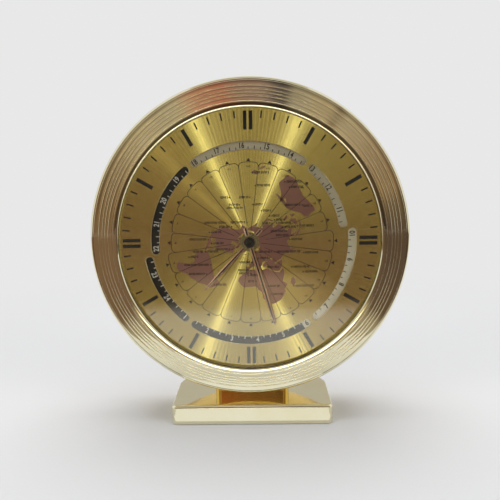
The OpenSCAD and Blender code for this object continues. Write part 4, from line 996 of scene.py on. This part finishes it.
roomLook = {
    "middleX": -0.014, "middleZ": 0.118, "near": -0.06, "strength": 2.0, "reach": (0.08, 0.32),
    "evenShare": (1.07, 0.93), "ribbedShare": (1.32, 0.68), "ribbedWithin": (0.55, 0.9), "passes": 3.5,
    # clock angle on the dial, which shares its tone with the angle opposite, and that tone
    "tones": [
        (0, (0.36, 0.33, 0.23)), (10, (0.40, 0.37, 0.27)), (16, (0.50, 0.48, 0.38)), (18.5, (0.66, 0.66, 0.55)),
        (20.8, (1.7, 1.75, 1.45)), (22.6, (1.7, 1.75, 1.45)), (24.0, (0.50, 0.50, 0.38)), (28, (0.32, 0.29, 0.21)),
        (45, (0.27, 0.24, 0.18)), (56, (0.24, 0.20, 0.15)), (66, (0.18, 0.145, 0.115)), (80, (0.165, 0.12, 0.115)),
        (98, (0.165, 0.115, 0.11)), (110, (0.19, 0.14, 0.12)), (124, (0.25, 0.20, 0.155)), (131, (0.28, 0.23, 0.17)),
        (135, (0.50, 0.44, 0.31)), (139, (0.30, 0.25, 0.18)), (150, (0.30, 0.27, 0.20)), (152.5, (0.50, 0.50, 0.38)),
        (154.3, (1.65, 1.7, 1.35)), (156.3, (1.65, 1.7, 1.35)), (158.5, (0.60, 0.58, 0.46)), (168, (0.44, 0.41, 0.32)),
        (180, (0.36, 0.33, 0.23)),
    ],
}
tableLook = {
    "height": 0.0008, "near": -0.095, "far": -0.80, "halfWidth": 1.1, "paleX": (0.100, 0.125), "paleY": (-0.30, -0.22),
    "pale": (0.34, 0.29, 0.22), "left": (0.20, 0.125, 0.078), "right": (0.10, 0.068, 0.052), "sides": 0.25,
}
glassGlow = {
    "height": 0.0012, "radius": 60.8, "from": 100, "steps": 60, "fade": (-0.285, -0.20), "clearTo": 0.12,
    "strength": 4.6, "colour": (1.0, 0.98, 0.86), "middleX": (0.04, 0.10), "middleY": (-0.43, -0.34),
    "middleShare": 0.55, "middleColour": (1.0, 0.76, 0.45),
}
# plain cards: low and high corner in m, strength, colour
plainCards = [
    ((-0.045, -0.044, 0.0007), (0.045, -0.0235, 0.0007), 0.88, (0.97, 0.98, 1.0)),
    ((-0.9, 0.60, 0.0), (0.9, 0.60, 0.55), 0.50, (1.0, 0.96, 0.90)),
    ((-0.35, -0.40, 0.90), (0.35, 0.0, 0.90), 0.32, (1.0, 0.86, 0.55)),
]


def rampOf(mat, value, stops):
    made = addNode(mat, "ValToRGB", {"Fac": value})
    elements = made.color_ramp.elements
    elements.remove(elements[1])
    elements[0].position = stops[0][0]
    elements[0].color = (*stops[0][1], 1)
    for place, colour in stops[1:]:
        elements.new(place).color = (*colour, 1)
    return made.outputs["Color"]


def reflectedOnly(name, corners, mat, faces=((0, 1, 2, 3),), throughGlass=False):
    made = meshPiece(name, corners, faces, mat, body=None)
    made.visible_camera = False
    made.visible_diffuse = False
    made.visible_shadow = False
    made.visible_glossy = not throughGlass
    made.visible_transmission = throughGlass


def glowMaterial(name):
    mat = bpy.data.materials.new(name)
    mat.use_nodes = True
    mat.node_tree.nodes.remove(mat.node_tree.nodes["Principled BSDF"])
    return mat


def addGlow(mat, colour, strength):
    return addNode(mat, "Emission", {"Color": colour, "Strength": strength})


def buildWall():
    w = wallLook
    mat = glowMaterial("wallTone")
    across, _, up = pointParts(mat)
    span = radians(w["span"])
    tone = rampOf(mat, rangeOf(mat, calc(mat, "ARCTAN2", across, up), -span, span),
                  [((turn + w["span"]) / (2 * w["span"]), colour) for turn, colour in w["tones"]])
    reach = lengthOf(mat, across, up)
    share = rangeOf(mat, reach, *w["glassReach"], w["glassShare"], 1.0, smooth=True)
    share = times(mat, share, rangeOf(mat, noise(mat, w["mottleScale"], 3.0), 0.35, 0.65, *w["mottle"]))
    # lighter where the inner part of each bezel step looks and darker where its outer part does, but not at the foot
    turn = times(mat, minus(mat, reach, w["bandFrom"]), pi / w["bandWidth"])
    swing = times(mat, calc(mat, "COSINE", turn), w["band"])
    aboveFoot = rangeOf(mat, up, 0.0, w["footTo"], smooth=True)
    share = times(mat, share, plus(mat, times(mat, swing, aboveFoot), 1.0))
    showSurface(mat, addGlow(mat, tone, share))
    half, y = w["halfWidth"], dialMiddle.y - w["ahead"]
    reflectedOnly("wall_card", cardCorners((-half, y, 0), (half, y, w["top"])), mat)


# Floor and wall that only the dial sees: each spot is carried on to the wall's plane, as seen from the dial's middle,
# and takes the tone of its angle round the room's middle
def buildDialRoom():
    r, w = roomLook, wallLook
    mat = glowMaterial("roomTone")
    x, y, z = pointParts(mat)
    carry = calc(mat, "DIVIDE", w["ahead"], minus(mat, dialMiddle.y, y))
    across = minus(mat, times(mat, x, carry), r["middleX"])
    up = times(mat, minus(mat, z, dialMiddle.z), carry)
    down = minus(mat, r["middleZ"] - dialMiddle.z, up)
    angle, reach = calc(mat, "ARCTAN2", down, across), lengthOf(mat, across, down)
    tone = rampOf(mat, calc(mat, "DIVIDE", calc(mat, "WRAP", angle, pi, 0.0), pi),
                  [(turn / 180, tuple(part / r["strength"] for part in colour)) for turn, colour in r["tones"]])
    # what the dial shows near 12 and 6 o'clock changes more with the distance, so that its ribs stand out there
    ribbed = rangeOf(mat, calc(mat, "COSINE", times(mat, angle, 2.0)), *r["ribbedWithin"])
    even, strong = (rangeOf(mat, reach, *r["reach"], *r[part]) for part in ("evenShare", "ribbedShare"))
    share = addNode(mat, "Mix", {0: ribbed, 2: even, 3: strong}, data_type="FLOAT").outputs[0]
    # light from the dial passes four faces of the glass; the glass' own back face shows nothing of the room
    passed = addNode(mat, "LightPath").outputs["Transmission Depth"]
    share = times(mat, share, calc(mat, "GREATER_THAN", passed, r["passes"]))
    showSurface(mat, addGlow(mat, tone, times(mat, share, r["strength"])))
    half, top, low = w["halfWidth"], w["top"], tableLook["height"]
    near, far = r["near"], dialMiddle.y - w["ahead"]
    corners = [(-half, near, low), (half, near, low), (half, far, low), (-half, far, low), (half, far, top),
               (-half, far, top)]
    reflectedOnly("dial_room", corners, mat, ((0, 1, 2, 3), (3, 2, 4, 5)), throughGlass=True)


def buildPlainCards():
    for n, (low, high, strength, colour) in enumerate(plainCards):
        mat = glowMaterial(f"cardGlow{n}")
        showSurface(mat, addGlow(mat, (*colour, 1), strength))
        reflectedOnly(f"plain_card_{n}", cardCorners(low, high), mat)


def buildTable():
    t = tableLook
    mat = glowMaterial("tableTone")
    across, ahead, _ = pointParts(mat)
    inMiddle = rangeOf(mat, calc(mat, "ABSOLUTE", across), *t["paleX"], 1.0, 0.0, smooth=True)
    isPale = times(mat, inMiddle, rangeOf(mat, ahead, *t["paleY"], smooth=True))
    dark = mixColour(mat, rangeOf(mat, across, -t["sides"], t["sides"]), t["left"], t["right"])
    showSurface(mat, addGlow(mat, mixColour(mat, isPale, dark, t["pale"]), 1.0))
    half, z = t["halfWidth"], t["height"]
    reflectedOnly("table_card", cardCorners((-half, t["far"], z), (half, t["near"], z)), mat)


# Pale patch on the table in the shape that the glass mirrors, so that the bezel's lip doesn't show it
def buildGlassGlow():
    g, eye, glassTop = glassGlow, Vector(view["place"]), bezelShape["glassTop"]
    # the view's place mirrored in the glass
    mirrorY = 2 * onFace(0, 0, glassTop).y - eye.y
    corners = []
    for k in range(g["steps"] + 1):
        spot = onFace(*atClock(g["radius"], g["from"] + (360 - 2 * g["from"]) * k / g["steps"]), glassTop)
        share = (eye.z - g["height"]) / (eye.z - spot.z)
        corners.append((eye.x + (spot.x - eye.x) * share, mirrorY + (spot.y - mirrorY) * share, g["height"]))
    mat = glowMaterial("glassGlow")
    across, ahead, _ = pointParts(mat)
    near = rangeOf(mat, ahead, *g["fade"], smooth=True)
    middle = rangeOf(mat, calc(mat, "ABSOLUTE", across), *g["middleX"], g["middleShare"], 0.0, smooth=True)
    middle = times(mat, middle, rangeOf(mat, ahead, *g["middleY"], smooth=True))
    share = calc(mat, "MAXIMUM", near, middle)
    glow = addGlow(mat, mixColour(mat, near, g["middleColour"], g["colour"]), times(mat, share, g["strength"]))
    showMixed(mat, rangeOf(mat, share, 0.0, g["clearTo"]), addNode(mat, "BsdfTransparent"), glow)
    reflectedOnly("glass_glow", corners, mat, [tuple(range(len(corners)))])


view = {
    "place": (0.0047, -0.2860, 0.1287), "forward": (-0.017, 0.9836, -0.179), "roll": -0.95,
    "lens": 40.97, "sensor": 36.0, "shiftY": 0.03, "clipStart": 0.01,
}
buildStage()
buildWall()
buildDialRoom()
buildTable()
buildGlassGlow()
buildPlainCards()
for name, values in lamps.items():
    addLamp(name, *values)
print("stage and lamps placed")


def placeCamera():
    cam = bpy.data.cameras.new("photoCamera")
    cam.lens = view["lens"]
    cam.sensor_width = view["sensor"]
    cam.shift_y = view["shiftY"]
    cam.clip_start = view["clipStart"]
    made = bpy.data.objects.new("photoCamera", cam)
    bpy.context.scene.collection.objects.link(made)
    forward = Vector(view["forward"]).normalized()
    right = forward.cross(Vector((0, 0, 1))).normalized()
    up = right.cross(forward)
    roll = radians(view["roll"])
    tiltedRight = right * cos(roll) + up * sin(roll)
    tiltedUp = tiltedRight.cross(forward)
    turn = Matrix((tiltedRight, tiltedUp, -forward)).transposed()
    made.matrix_world = Matrix.Translation(view["place"]) @ turn.to_4x4()
    bpy.context.scene.camera = made


placeCamera()
bpy.context.scene.view_settings.view_transform = "Standard"

print("scene ready")
